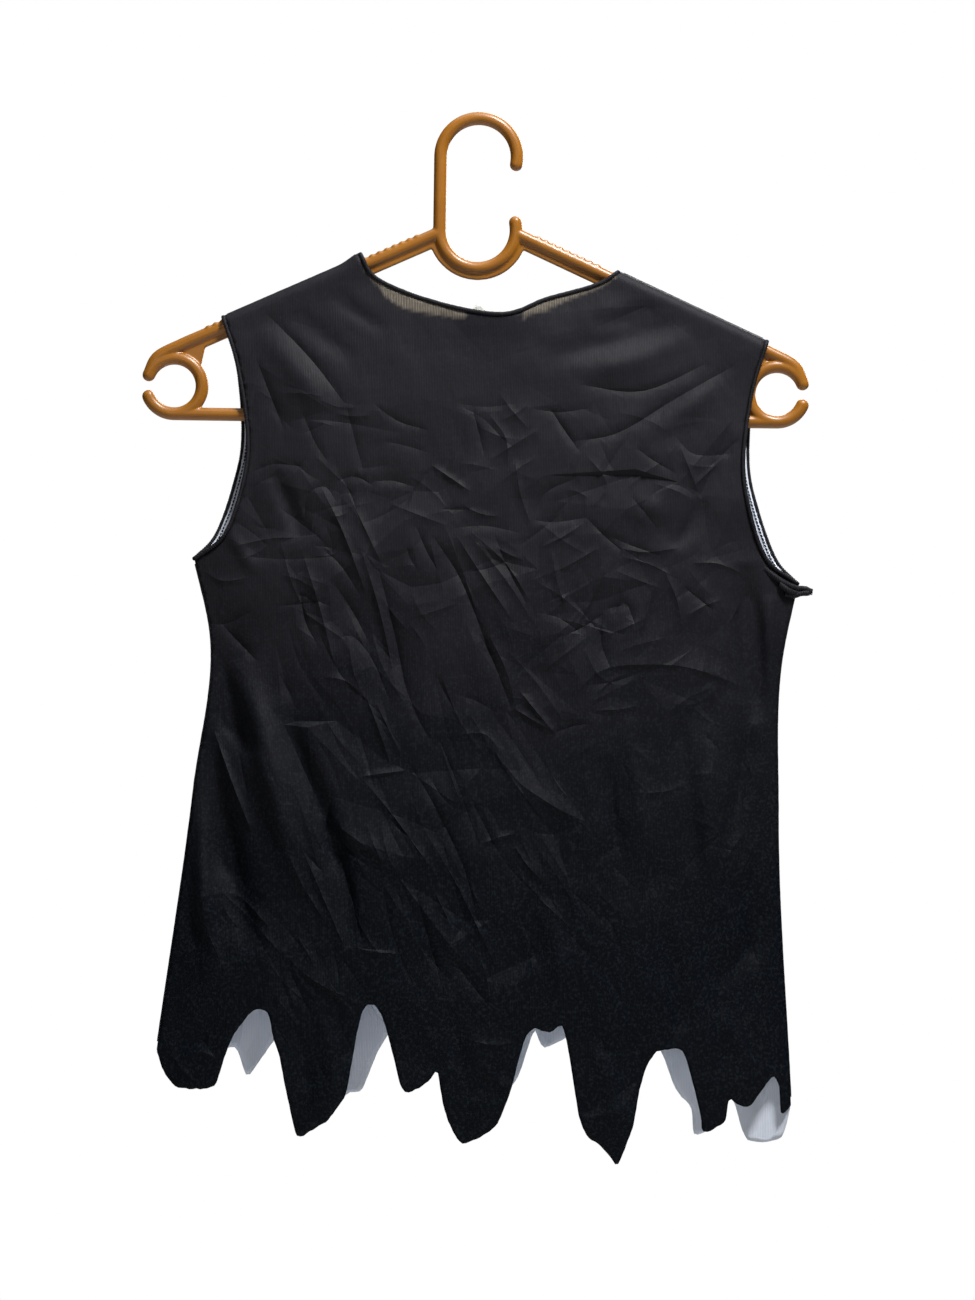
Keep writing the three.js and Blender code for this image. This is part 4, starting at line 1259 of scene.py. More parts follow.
class ClothSurface:
    """Where one panel lies. Places on the flat panel are x and a height that unrolls the wrap over the arms."""

    HANGER_SKIN = 4.9
    LIFT_ROOM = 57.0
    CRUSH = 1.35
    NECK_CURL = 7.0

    def __init__(
        self, cut: TunicCut, facing: Facing, creases: Sequence[Crease], net: FacetNet, seed: int
    ) -> None:
        """Drapes the panel.

        Args:
            cut: The tunic's cut.
            facing: Which panel this is.
            creases: The creases pressed into it.
            net: The facets it was crushed into.
            seed: The seed of its unevenness.
        """
        self.cut, self.facing, self.creases, self.net = cut, facing, creases, net
        self.unevenness = (NoiseField(seed, 16.0), NoiseField(seed + 1, 6.0))
        self.drape = Drape(self)

    def unroll(self, x: Array, z: Array) -> Array:
        """Returns the flat height of points that lie on the surface."""
        slope, radius = math.cos(self.cut.hanger.arm_slope), self.cut.drape_radius
        above = (z - self.cut.hanger.arm_z(x)) * slope
        wrapped = radius * np.arcsin(np.clip(above / radius, 0, 1)) / slope
        return np.where(above > 0, self.cut.hanger.arm_z(x) + wrapped, z)

    def top(self, x: Array) -> Array:
        """Returns the flat height of the shoulder line."""
        cut = self.cut
        return cut.hanger.arm_z(x) + cut.drape_radius * math.pi / 2 / math.cos(cut.hanger.arm_slope)

    def base(self, x: Array, z: Array) -> Array:
        """Returns the undraped surface's points, in millimetres."""
        cut = self.cut
        slope, radius = math.cos(cut.hanger.arm_slope), cut.drape_radius
        arm = cut.hanger.arm_z(x)
        turn = np.clip((z - arm) * slope / radius, 0, math.pi / 2)
        wrapped = z > arm
        left, right = cut.side_x(Side.LEFT, z), cut.side_x(Side.RIGHT, z)
        across = np.clip((2 * x - left - right) / (right - left), -1, 1)
        lowest = -cut.hem_corner(Side.RIGHT)[1]
        down = smoothstep(-z, -float(cut.shoulder_z(cut.neck_x(Side.LEFT))), lowest)
        middle = cut.neck_half_depth + (cut.hem_half_depth - cut.neck_half_depth) * down
        hollow = cut.side_half_depth + (middle - cut.side_half_depth) * (1 - np.abs(across) ** 3)
        blend = smoothstep((arm - z) * slope, 0, cut.drape_blend)
        depth = np.where(wrapped, radius * np.cos(turn), radius + (hollow - radius) * blend)
        height = np.where(wrapped, arm + radius * np.sin(turn) / slope, z)
        return np.stack([x, self.facing.value * depth, height], axis=1)

    def outward(self, x: Array, z: Array) -> Array:
        """Returns the surface's outward direction."""
        step = 1.0
        across = self.base(x + step, z) - self.base(x - step, z)
        down = self.base(x, z - step) - self.base(x, z + step)
        normal = np.cross(across, down) * -self.facing.value
        normal[:, 1] = np.where(np.abs(normal[:, 1]) < 1e-6, 1e-6 * self.facing.value, normal[:, 1])
        normal *= np.sign(normal[:, 1:2]) * self.facing.value
        normal[:, 0] = 0
        return normal / np.linalg.norm(normal, axis=1, keepdims=True)

    def sharp_lines(self, step: float) -> list[Array]:
        """Returns the flat lines along which the cloth is creased sharply."""
        pinched = [crease for crease in self.creases if crease.profile is not Profile.FOLD]
        return self.net.lines(step) + [smooth_line(crease.path, step) for crease in pinched]

    def relief(self, x: Array, z: Array) -> Array:
        """Returns how far the creases stand out, less where the cloth is held or lies against its seam."""
        relief = np.zeros(len(x))
        for crease in self.creases:
            crease.press(x, z, relief)
        self.net.press(x, z, relief)
        slow, quick = (noise.read(x, z) for noise in self.unevenness)
        relief += 0.35 * slow + 0.06 * quick
        cut = self.cut
        beside = np.minimum(x - cut.side_x(Side.LEFT, z), cut.side_x(Side.RIGHT, z) - x)
        held = 0.12 + 0.88 * smoothstep(beside, 0, 16)
        over = 1 - smoothstep(z, cut.hanger.arm_z(x) - 14, cut.hanger.arm_z(x) + 3)
        return self.CRUSH * relief * held * (0.08 + 0.92 * over)

    def points(self, x: Array, z: Array, lift: float | Array = 0.0) -> Array:
        """Returns the finished surface's points.

        Args:
            x: The sideways places.
            z: The flat heights.
            lift: How far to stand off the surface, outwards.

        Returns:
            The points, in millimetres.
        """
        base, outward = self.base(x, z), self.outward(x, z)
        out = self.relief(x, z) + lift
        placed = base + self.drape.read(x, z) + outward * np.asarray(out)[:, None]
        side = self.facing.value
        lowest = self.cut.hanger.clip_z - self.LIFT_ROOM
        beside_hanger = smoothstep(base[:, 2], lowest - 34, lowest - 26)
        least = np.minimum(side * base[:, 1] * 0.92, 0.6 + (self.HANGER_SKIN - 0.6) * beside_hanger) + lift
        placed[:, 1] = side * np.maximum(side * placed[:, 1], least)
        corner = np.array([self.cut.neck_x(Side.LEFT), float(self.cut.shoulder_z(self.cut.neck_x(Side.LEFT)))])
        away = np.hypot(base[:, 0] - corner[0], base[:, 2] - corner[1])
        curl = np.exp(-((away / self.NECK_CURL) ** 2))
        placed[:, 2] += 2.4 * curl
        placed[:, 1] += side * 0.8 * curl
        return placed


# ---------------------------------------------------------------- meshes


def new_object(name: str, mesh: bpy.types.Mesh) -> bpy.types.Object:
    """Returns a new object in the scene that shows a mesh."""
    made = bpy.data.objects.new(name, mesh)
    bpy.context.scene.collection.objects.link(made)
    return made


def finished(piece: bpy.types.Object) -> bpy.types.Object:
    """Turns a piece with live modifiers into a plain mesh.

    Args:
        piece: The piece.

    Returns:
        The same piece, with its modifiers worked into its mesh.
    """
    graph = bpy.context.evaluated_depsgraph_get()
    mesh = bpy.data.meshes.new_from_object(piece.evaluated_get(graph))
    piece.modifiers.clear()
    old, piece.data = piece.data, mesh
    bpy.data.meshes.remove(old)
    mesh.name = piece.name
    return piece


def run_nodes(piece: bpy.types.Object, group: bpy.types.NodeTree, values: dict) -> bpy.types.Object:
    """Runs a geometry node tree on a piece.

    Args:
        piece: The piece.
        group: The tree.
        values: What each named input gets.

    Returns:
        The piece as a plain mesh.
    """
    nodes = piece.modifiers.new("nodes", "NODES")
    nodes.node_group = group
    for item in group.interface.items_tree:
        if item.in_out == "INPUT" and item.name in values:
            nodes[item.identifier] = values[item.name]
    return finished(piece)


def thickened(piece: bpy.types.Object, thickness: float) -> bpy.types.Object:
    """Gives a surface an even wall, half to each side of it, in millimetres."""
    wall = piece.modifiers.new("wall", "SOLIDIFY")
    wall.thickness = thickness * MM
    wall.offset = 0
    return finished(piece)


def shade_smooth(mesh: bpy.types.Mesh) -> None:
    """Shades a mesh smoothly."""
    mesh.polygons.foreach_set("use_smooth", np.ones(len(mesh.polygons), bool))
    mesh.update()


def join_meshes(name: str, parts: Sequence[bpy.types.Object]) -> bpy.types.Object:
    """Joins plain mesh objects into one.

    Args:
        name: The new object's name.
        parts: The objects, which are removed.

    Returns:
        The joined object.
    """
    joined = bmesh.new()
    materials: list[bpy.types.Material] = []
    for part in parts:
        first = len(joined.faces)
        joined.from_mesh(part.data)
        joined.faces.ensure_lookup_table()
        slots = [m for m in part.data.materials]
        for face in joined.faces[first:]:
            material = slots[face.material_index] if slots else None
            if material is not None and material not in materials:
                materials.append(material)
            face.material_index = materials.index(material) if material in materials else 0
        bpy.data.objects.remove(part)
    mesh = bpy.data.meshes.new(name)
    joined.to_mesh(mesh)
    joined.free()
    for material in materials:
        mesh.materials.append(material)
    shade_smooth(mesh)
    return new_object(name, mesh)


def inside_outline(points: Array, outline: Array) -> Array:
    """Tells which points lie inside a closed outline.

    Args:
        points: The points.
        outline: The outline's corners.

    Returns:
        True for each point inside.
    """
    inside = np.zeros(len(points), bool)
    following = np.roll(outline, -1, axis=0)
    for (x0, z0), (x1, z1) in zip(outline, following):
        if z0 == z1:
            continue
        crosses = (points[:, 1] > min(z0, z1)) & (points[:, 1] <= max(z0, z1))
        inside ^= crosses & (points[:, 0] < x0 + (points[:, 1] - z0) * (x1 - x0) / (z1 - z0))
    return inside


def clear_of(points: Array, line: Array, gap: float) -> Array:
    """Tells which points lie further than a gap from every point of a line.

    Args:
        points: The points.
        line: The line's points.
        gap: The least distance.

    Returns:
        True for each point that is clear.
    """
    cells: dict[tuple[int, int], list[int]] = {}
    for i, (x, z) in enumerate(line):
        cells.setdefault((math.floor(x / gap), math.floor(z / gap)), []).append(i)
    clear = np.ones(len(points), bool)
    for i, (x, z) in enumerate(points):
        column, row = math.floor(x / gap), math.floor(z / gap)
        near = [j for a in (-1, 0, 1) for b in (-1, 0, 1) for j in cells.get((column + a, row + b), ())]
        if near:
            clear[i] = ((line[near, 0] - x) ** 2 + (line[near, 1] - z) ** 2).min() > gap * gap
    return clear


@dataclass
class Panel:
    """One panel of the tunic: a thin shell, black outside and white inside, cut to its outline."""

    cut: TunicCut
    surface: ClothSurface
    finishes: Finishes
    spacing: float
    thickness: float = 0.35

    @property
    def name(self) -> str:
        """The piece's name."""
        return f"{self.surface.facing.name.lower()}_cloth"

    def outline(self) -> Array:
        """Returns the panel's flat outline, the way round that starts at the left shoulder."""
        facing, surface = self.surface.facing, self.surface
        holes = {side: self.cut.armhole(facing, side) for side in Side}
        neck = self.cut.neckline(facing)
        parts = [
            holes[Side.LEFT], self.cut.side_seam(Side.LEFT), self.cut.hem(facing),
            self.cut.side_seam(Side.RIGHT)[::-1], holes[Side.RIGHT][::-1], neck[::-1],
        ]
        flat = []
        for part in parts:
            unrolled = np.stack([part[:, 0], surface.unroll(part[:, 0], part[:, 1])], axis=1)
            flat.append(even_steps(unrolled, self.spacing)[:-1])
        flat.insert(5, self.shoulder(holes[Side.RIGHT][0, 0], neck[-1, 0]))
        flat.append(self.shoulder(neck[0, 0], holes[Side.LEFT][0, 0]))
        return np.vstack(flat)

    def shoulder(self, start: float, end: float) -> Array:
        """Returns a shoulder line from one place to another, the last point left out."""
        count = max(3, round(abs(end - start) / self.spacing))
        x = np.linspace(start, end, count + 1)[:-1]
        return np.stack([x, self.surface.top(x)], axis=1)

    def flat_mesh(self) -> tuple[Array, list, set]:
        """Fills the outline with even triangles whose edges run along every sharp crease.

        Returns:
            The flat points, the triangles and the pairs of points that a crease joins.
        """
        outline = self.outline()
        rim = [(i, (i + 1) % len(outline)) for i in range(len(outline))]
        lines = self.surface.sharp_lines(self.spacing)
        marks = np.vstack(lines)
        line_of = np.concatenate([np.full(len(line), i) for i, line in enumerate(lines)])
        kept = inside_outline(marks, outline) & clear_of(marks, outline, 0.6 * self.spacing)
        number = np.where(kept, np.cumsum(kept) - 1 + len(outline), -1)
        linked = kept[:-1] & kept[1:] & (line_of[:-1] == line_of[1:])
        creased = [(int(number[i]), int(number[i + 1])) for i in np.flatnonzero(linked)]
        held = np.vstack([outline, marks[kept]])
        filling = self.filling(outline)
        filling = filling[clear_of(filling, held, 0.62 * self.spacing)]
        corners = [Vector(point) for point in np.vstack([held, filling])]
        made = delaunay_2d_cdt(corners, rim + creased, [], 1, 1e-4)
        sharp = {tuple(sorted(e)) for e, given in zip(made[1], made[4]) if any(g >= len(rim) for g in given)}
        return np.array([tuple(v) for v in made[0]]), [list(f) for f in made[2]], sharp

    def filling(self, outline: Array) -> Array:
        """Returns a close-packed grid of points inside the outline."""
        low, high = outline.min(0), outline.max(0)
        rows = np.arange(low[1], high[1], self.spacing * math.sqrt(3) / 2)
        columns = np.arange(low[0], high[0], self.spacing)
        x = columns[None, :] + (np.arange(len(rows)) % 2)[:, None] * self.spacing / 2
        points = np.stack([x.ravel(), np.repeat(rows, len(columns))], axis=1)
        return points[inside_outline(points, outline)]

    def build(self) -> bpy.types.Object:
        """Builds the panel.

        Returns:
            The panel as a closed thin shell.
        """
        flat, faces, sharp = self.flat_mesh()
        placed = self.surface.points(flat[:, 0], flat[:, 1])
        self.area = self.flat_area(flat, faces)
        if self.surface.facing is Facing.FRONT:
            faces = [face[::-1] for face in faces]
        mesh = bpy.data.meshes.new(self.name)
        mesh.from_pydata((placed * MM).tolist(), [], faces)
        mesh.materials.append(self.finishes.outside)
        mesh.materials.append(self.finishes.inside)
        single = mesh.attributes.new("single_layer", "FLOAT", "POINT")
        single.data.foreach_set("value", self.single_layer(flat).astype(np.float32))
        shade_smooth(mesh)
        crease = mesh.attributes.new("sharp_edge", "BOOLEAN", "EDGE")
        crease.data.foreach_set("value", [tuple(sorted(edge.vertices)) in sharp for edge in mesh.edges])
        piece = new_object(self.name, mesh)
        wall = piece.modifiers.new("wall", "SOLIDIFY")
        wall.thickness = self.thickness * MM
        wall.offset = -1
        wall.use_rim = True
        wall.material_offset = 1
        wall.material_offset_rim = 0
        return finished(piece)

    def flat_area(self, flat: Array, faces: list) -> float:
        """Returns the cut cloth's area in square metres."""
        a, b, c = (flat[[face[i] for face in faces]] for i in range(3))
        cross = (b[:, 0] - a[:, 0]) * (c[:, 1] - a[:, 1]) - (b[:, 1] - a[:, 1]) * (c[:, 0] - a[:, 0])
        return float(np.abs(cross).sum() / 2) * MM * MM

    def flat_size(self) -> Pair:
        """Returns the width and length of the flat cut, in metres."""
        low, high = self.outline().min(0), self.outline().max(0)
        return (float(high[0] - low[0]) * MM, float(high[1] - low[1]) * MM)

    def single_layer(self, flat: Array) -> Array:
        """Returns 1 where the cloth is a single layer: the back's strip above the front's neckline, which the
        outside finish paints with the light that comes through.
        """
        if self.surface.facing is Facing.FRONT:
            return np.zeros(len(flat))
        front = self.cut.neckline(Facing.FRONT)
        line = np.interp(flat[:, 0], front[:, 0], front[:, 1])
        inner = (flat[:, 0] > front[3, 0]) & (flat[:, 0] < front[-4, 0])
        low, high = (corner.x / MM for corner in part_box("neck_label"))
        beside = np.maximum(low - flat[:, 0], flat[:, 0] - high)
        return smoothstep(flat[:, 1] - line, -0.5, 1.2) * inner * smoothstep(beside, 0, 1.5)


# ---------------------------------------------------------------- sewn edges


class SewnLine:
    """The geometry node tree of a sewn edge: a corded band wrapped by even turns of thread."""

    INPUTS = (
        ("Band Radius", "NodeSocketFloat"), ("Thread Radius", "NodeSocketFloat"), ("Pitch", "NodeSocketFloat"),
        ("Seed", "NodeSocketInt"),
        ("Band Finish", "NodeSocketMaterial"), ("Thread Finish", "NodeSocketMaterial"),
    )

    def __init__(self) -> None:
        """Builds the tree."""
        self.group = bpy.data.node_groups.new("Sewn Line", "GeometryNodeTree")
        sockets = self.group.interface
        sockets.new_socket("Geometry", in_out="INPUT", socket_type="NodeSocketGeometry")
        for label, kind in self.INPUTS:
            sockets.new_socket(label, in_out="INPUT", socket_type=kind)
        sockets.new_socket("Geometry", in_out="OUTPUT", socket_type="NodeSocketGeometry")
        tree = NodeTree(self.group)
        start = tree.add("NodeGroupInput").outputs
        path = tree.add("GeometryNodeMeshToCurve", {"Mesh": start["Geometry"]}).outputs[0]
        band = self.band(tree, start, path)
        wraps = self.wraps(tree, start, path)
        both = tree.add("GeometryNodeJoinGeometry")
        for part in (wraps, band):
            tree.feed(both.inputs[0], part)
        smooth = tree.add("GeometryNodeSetShadeSmooth", {"Geometry": both.outputs[0]}).outputs[0]
        end = tree.add("NodeGroupOutput").inputs
        tree.feed(end["Geometry"], smooth)

    def band(self, tree: NodeTree, start: object, path: bpy.types.NodeSocket) -> bpy.types.NodeSocket:
        """Adds the band: a round cord of slightly changing thickness along the path.

        Args:
            tree: The tree.
            start: The tree's inputs.
            path: The path's curve.

        Returns:
            The band's geometry.
        """
        spaced = {"Curve": path, "Length": start["Pitch"]}
        even = tree.add("GeometryNodeResampleCurve", spaced, mode="LENGTH").outputs[0]
        inputs = {"Min": 0.9, "Max": 1.1, "Seed": start["Seed"]}
        swell = tree.add("FunctionNodeRandomValue", data_type="FLOAT")
        for label, value in inputs.items():
            socket = next(s for s in swell.inputs if s.name == label and s.enabled)
            tree.feed(socket, value)
        scale = next(s for s in swell.outputs if s.enabled)
        ring = {"Resolution": 8, "Radius": start["Band Radius"]}
        profile = tree.add("GeometryNodeCurvePrimitiveCircle", ring, mode="RADIUS").outputs["Curve"]
        swept = {"Curve": even, "Profile Curve": profile, "Scale": scale, "Fill Caps": True}
        mesh = tree.add("GeometryNodeCurveToMesh", swept).outputs["Mesh"]
        finish = {"Geometry": mesh, "Material": start["Band Finish"]}
        return tree.add("GeometryNodeSetMaterial", finish).outputs[0]

    def wraps(self, tree: NodeTree, start: object, path: bpy.types.NodeSocket) -> bpy.types.NodeSocket:
        """Adds the turns of thread: small rings that lean along the path.

        Args:
            tree: The tree.
            start: The tree's inputs.
            path: The path's curve.

        Returns:
            The thread's geometry.
        """
        spots = tree.add("GeometryNodeCurveToPoints", {"Curve": path, "Length": start["Pitch"]}, mode="LENGTH")
        loop = {"Resolution": 9, "Radius": start["Band Radius"]}
        turn = tree.add("GeometryNodeCurvePrimitiveCircle", loop, mode="RADIUS").outputs["Curve"]
        fibre = {"Resolution": 4, "Radius": start["Thread Radius"]}
        profile = tree.add("GeometryNodeCurvePrimitiveCircle", fibre, mode="RADIUS").outputs["Curve"]
        ring = tree.add("GeometryNodeCurveToMesh", {"Curve": turn, "Profile Curve": profile}).outputs["Mesh"]
        inputs = {
            "Points": spots.outputs["Points"], "Instance": ring, "Rotation": spots.outputs["Rotation"],
        }
        placed = tree.add("GeometryNodeInstanceOnPoints", inputs).outputs[0]
        lean = tree.add("FunctionNodeEulerToRotation", {"Euler": (math.radians(24), 0.0, 0.0)}).outputs[0]
        leaning = tree.add("GeometryNodeRotateInstances", {"Instances": placed, "Rotation": lean}).outputs[0]
        real = tree.add("GeometryNodeRealizeInstances", {"Geometry": leaning}).outputs[0]
        finish = {"Geometry": real, "Material": start["Thread Finish"]}
        return tree.add("GeometryNodeSetMaterial", finish).outputs[0]

    def sew(
        self, name: str, path: Array, closed: bool, radius: float, finishes: Finishes,
        pitch: float = 1.5, thread: float = 0.2, seed: int = 1, thread_finish: bpy.types.Material | None = None,
    ) -> bpy.types.Object:
        """Sews one line.

        Args:
            name: The piece's name.
            path: The line's points, in millimetres.
            closed: Whether the line closes on itself.
            radius: The band's radius, in millimetres.
            finishes: The finishes.
            pitch: The distance between turns of thread, in millimetres.
            thread: The thread's radius, in millimetres.
            seed: The seed of the band's unevenness.
            thread_finish: The thread's material, or None for the usual one.

        Returns:
            The piece as a plain mesh.
        """
        edges = [(i, i + 1) for i in range(len(path) - 1)] + ([(len(path) - 1, 0)] if closed else [])
        mesh = bpy.data.meshes.new(name)
        mesh.from_pydata((path * MM).tolist(), edges, [])
        values = {
            "Band Radius": radius * MM, "Thread Radius": thread * MM, "Pitch": pitch * MM, "Seed": seed,
            "Band Finish": finishes.outside, "Thread Finish": thread_finish or finishes.thread,
        }
        return run_nodes(new_object(name, mesh), self.group, values)


@dataclass
class Edgings:
    """The sewn lines of the tunic: the neck's and the armholes' rolled edgings, the shoulder and side seams."""

    cut: TunicCut
    surfaces: dict
    finishes: Finishes
    sewn: SewnLine
    edge_radius: float = 1.15
    edge_offset: float = 0.6
    edge_lift: float = 0.5
    seam_radius: float = 0.6
    allowance: float = 8.0
    flap_thickness: float = 0.3
    stitch_inset: float = 1.5
    stitch_radius: float = 0.55

    def on_cloth(self, facing: Facing, line: Array, lift: float = 0.0) -> Array:
        """Returns a line of the cut laid on a panel."""
        surface = self.surfaces[facing]
        return surface.points(line[:, 0], surface.unroll(line[:, 0], line[:, 1]), lift)

    def beside(self, line: Array, distance: float) -> Array:
        """Returns a flat line moved to the left of its direction of travel."""
        along = np.gradient(line, axis=0)
        normal = np.stack([-along[:, 1], along[:, 0]], axis=1)
        return line + distance * normal / np.linalg.norm(normal, axis=1, keepdims=True)

    def neck(self) -> bpy.types.Object:
        """Builds the neck's edging."""
        back = self.on_cloth(Facing.BACK, self.beside(self.cut.neckline(Facing.BACK), self.edge_offset))
        front = self.on_cloth(Facing.FRONT, self.beside(self.cut.neckline(Facing.FRONT), self.edge_offset))
        loop = np.vstack([back[1:-1], front[::-1][1:-1]])
        return self.sewn.sew("neck_rolled_edge", loop, True, self.edge_radius, self.finishes, seed=3)

    def armhole(self, side: Side) -> bpy.types.Object:
        """Builds one armhole's edging."""
        name = f"{side.name.lower()}_armhole_rolled_edge"
        offset = side.value * self.edge_offset
        back, front = (
            self.on_cloth(facing, self.beside(self.cut.armhole(facing, side), offset), self.edge_lift)
            for facing in (Facing.BACK, Facing.FRONT)
        )
        loop = np.vstack([back[1:], front[::-1][1:-1]])
        edge = self.sewn.sew(f"{name}_band", loop, True, self.edge_radius, self.finishes, seed=5 + side.value)
        inset = -side.value * self.stitch_inset
        row = self.on_cloth(Facing.FRONT, self.beside(self.cut.armhole(Facing.FRONT, side), inset)[3:-3], -0.1)
        stitches = self.sewn.sew(
            f"{name}_row", row, False, self.stitch_radius, self.finishes, 2.1, 0.26, 8, self.finishes.inside
        )
        return join_meshes(name, [edge, stitches])

    def shoulder(self, side: Side) -> bpy.types.Object:
        """Builds one shoulder seam, which rides along the top of an arm."""
        x = np.linspace(self.cut.neck_x(side), self.cut.shoulder_x(side), 90)[2:-2]
        z = self.surfaces[Facing.BACK].top(x)
        line = self.surfaces[Facing.BACK].points(x, z)
        line[:, 1] = 0
        line[:, 2] -= 0.25
        name = f"{side.name.lower()}_shoulder_sewn_seam"
        return self.sewn.sew(name, line, False, self.seam_radius, self.finishes, 2.2, 0.18, 12)

    def side(self, side: Side) -> bpy.types.Object:
        """Builds one side seam with its allowance inside, and on the right the twist at the underarm."""
        name = f"{side.name.lower()}_side_sewn_seam"
        line = self.cut.side_seam(side)
        edge = np.stack([line[:, 0], np.zeros(len(line)), line[:, 1]], axis=1)[1:-2]
        parts = [self.sewn.sew(f"{name}_edge", edge, False, self.seam_radius, self.finishes, 2.6, 0.16, 21)]
        inset = edge - (side.value * self.allowance, 0, 0)
        parts.append(self.sewn.sew(f"{name}_overlock", inset[2:-6], False, 0.5, self.finishes, 2.0, 0.2, 22))
        parts.append(self.flap(name, edge[2:-6], inset[2:-6]))
        if side is Side.RIGHT:
            parts.append(self.twist(f"{name}_twist", edge[0]))
        return join_meshes(name, parts)

    def flap(self, name: str, outer: Array, inner: Array) -> bpy.types.Object:
        """Builds the seam allowance as a thin strip that waves a little.

        Args:
            name: The seam's name.
            outer: The seam line.
            inner: The allowance's cut edge.

        Returns:
            The strip.
        """
        wave = 0.35 * np.sin(np.arange(len(outer)) * 0.55)
        rows = []
        for share in (0.1, 0.4, 0.7, 1.0):
            row = outer + share * (inner - outer)
            row[:, 1] += wave * share
            rows.append(row)
        count = len(outer)
        points = np.vstack(rows)
        faces = [
            (r * count + i, (r + 1) * count + i, (r + 1) * count + i + 1, r * count + i + 1)
            for r in range(len(rows) - 1) for i in range(count - 1)
        ]
        mesh = bpy.data.meshes.new(f"{name}_flap")
        mesh.from_pydata((points * MM).tolist(), [], faces)
        mesh.materials.append(self.finishes.inside)
        piece = new_object(f"{name}_flap", mesh)
        return thickened(piece, self.flap_thickness)

    def twist(self, name: str, foot: Array) -> bpy.types.Object:
        """Builds the armhole's twisted sewing, which is pulled out to a point at the right underarm.

        Args:
            name: The piece's name.
            foot: The underarm point.

        Returns:
            The twist.
        """
        strands = (
            (
                (-19, -2.4, 12), (-12, -3.2, 6.5), (-6, -3.0, 3.0),
                (0, -1.8, 0.8), (5, -0.6, 0.4), (9.2, 0.3, -1.2),
            ),
            ((-10, -3.4, 3.0), (-5, -3.8, -0.8), (0, -1.2, -2.0), (4.5, 0.6, -1.2), (8.8, -0.3, -1.6)),
            ((-7, -2.6, -2.5), (-2, -1.4, -3.6), (3, -1.6, -2.4), (7.0, -0.9, -2.0)),
        )
        made = []
        for i, strand in enumerate(strands):
            line = foot + smooth_line(strand, 1.0)
            made.append(self.sewn.sew(f"{name}_{i}", line, False, 1.7, self.finishes, 1.3, 0.2, 31 + i))
        return join_meshes(name, made)


# ---------------------------------------------------------------- the label


@dataclass
class NeckLabel:
    """The blank label inside the back neck, with a part of its top curled over the neck's edge."""

    finishes: Finishes
    thickness: float = 0.3
    curl: float = 7.0

    def build(self) -> bpy.types.Object:
        """Builds the label inside the place that the frame gives it.

        Returns:
            The label.
        """
        low, high = (np.array(corner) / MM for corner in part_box("neck_label"))
        columns, rows = 34, 20
        across, down = np.meshgrid(np.linspace(0, 1, columns), np.linspace(0, 1, rows))
        across, down = across.ravel(), down.ravel()
        x = low[0] + across * (high[0] - low[0])
        z = high[2] - down * (high[2] - low[2])
        y = (low[1] + high[1]) / 2 + 0.35 * np.sin(across * 5.2 + 0.6) * down + 0.1 * np.cos(down * 7)
        corner = np.exp(-(((across - 0.22) / 0.15) ** 2)) * np.clip(1 - down / 0.45, 0, 1)
        z = z + self.curl * corner
        y = y - 0.5 * corner
        faces = grid_quads(rows, columns)
        mesh = bpy.data.meshes.new("blank_label")
        mesh.from_pydata((np.stack([x, y, z], axis=1) * MM).tolist(), [], faces.tolist())
        mesh.materials.append(self.finishes.tape)
        shade_smooth(mesh)
        piece = new_object("blank_label", mesh)
        return thickened(piece, self.thickness)


# ---------------------------------------------------------------- the hanger


class MouldedRods:
    """The geometry node tree of the hanger's rods: a round section swept along each path, with round ends."""

    def __init__(self) -> None:
        """Builds the tree."""
        self.group = bpy.data.node_groups.new("Moulded Rods", "GeometryNodeTree")
        sockets = self.group.interface
        sockets.new_socket("Geometry", in_out="INPUT", socket_type="NodeSocketGeometry")
        sockets.new_socket("Radius", in_out="INPUT", socket_type="NodeSocketFloat")
        sockets.new_socket("Finish", in_out="INPUT", socket_type="NodeSocketMaterial")
        sockets.new_socket("Geometry", in_out="OUTPUT", socket_type="NodeSocketGeometry")
        tree = NodeTree(self.group)
        start = tree.add("NodeGroupInput").outputs
        path = tree.add("GeometryNodeMeshToCurve", {"Mesh": start["Geometry"]}).outputs[0]
        ring = {"Resolution": 28, "Radius": start["Radius"]}
        profile = tree.add("GeometryNodeCurvePrimitiveCircle", ring, mode="RADIUS").outputs["Curve"]
        swept = {"Curve": path, "Profile Curve": profile, "Fill Caps": True}
        rods = tree.add("GeometryNodeCurveToMesh", swept).outputs["Mesh"]
        ends = tree.add("GeometryNodeCurveEndpointSelection").outputs[0]
        ball = tree.add("GeometryNodeMeshUVSphere", {"Segments": 28, "Rings": 14, "Radius": start["Radius"]})
        placed = {"Points": path, "Selection": ends, "Instance": ball.outputs["Mesh"]}
        balls = tree.add("GeometryNodeInstanceOnPoints", placed).outputs[0]
        real = tree.add("GeometryNodeRealizeInstances", {"Geometry": balls}).outputs[0]
        both = tree.add("GeometryNodeJoinGeometry")
        for part in (rods, real):
            tree.feed(both.inputs[0], part)
        finish = {"Geometry": both.outputs[0], "Material": start["Finish"]}
        end = tree.add("NodeGroupOutput").inputs
        tree.feed(end["Geometry"], tree.add("GeometryNodeSetMaterial", finish).outputs[0])

    def sweep(self, paths: Sequence[Array], radius: float, material: bpy.types.Material) -> bpy.types.Object:
        """Sweeps the rods.

        Args:
            paths: Each rod's centre line, in millimetres.
            radius: The rods' radius, in millimetres.
            material: Their finish.

        Returns:
            The rods as one plain mesh.
        """
        points, edges = [], []
        for path in paths:
            first = len(points)
            points.extend(path.tolist())
            edges.extend((first + i, first + i + 1) for i in range(len(path) - 1))
        mesh = bpy.data.meshes.new("rods")
        mesh.from_pydata((np.array(points) * MM).tolist(), edges, [])
        return run_nodes(new_object("rods", mesh), self.group, {"Radius": radius * MM, "Finish": material})


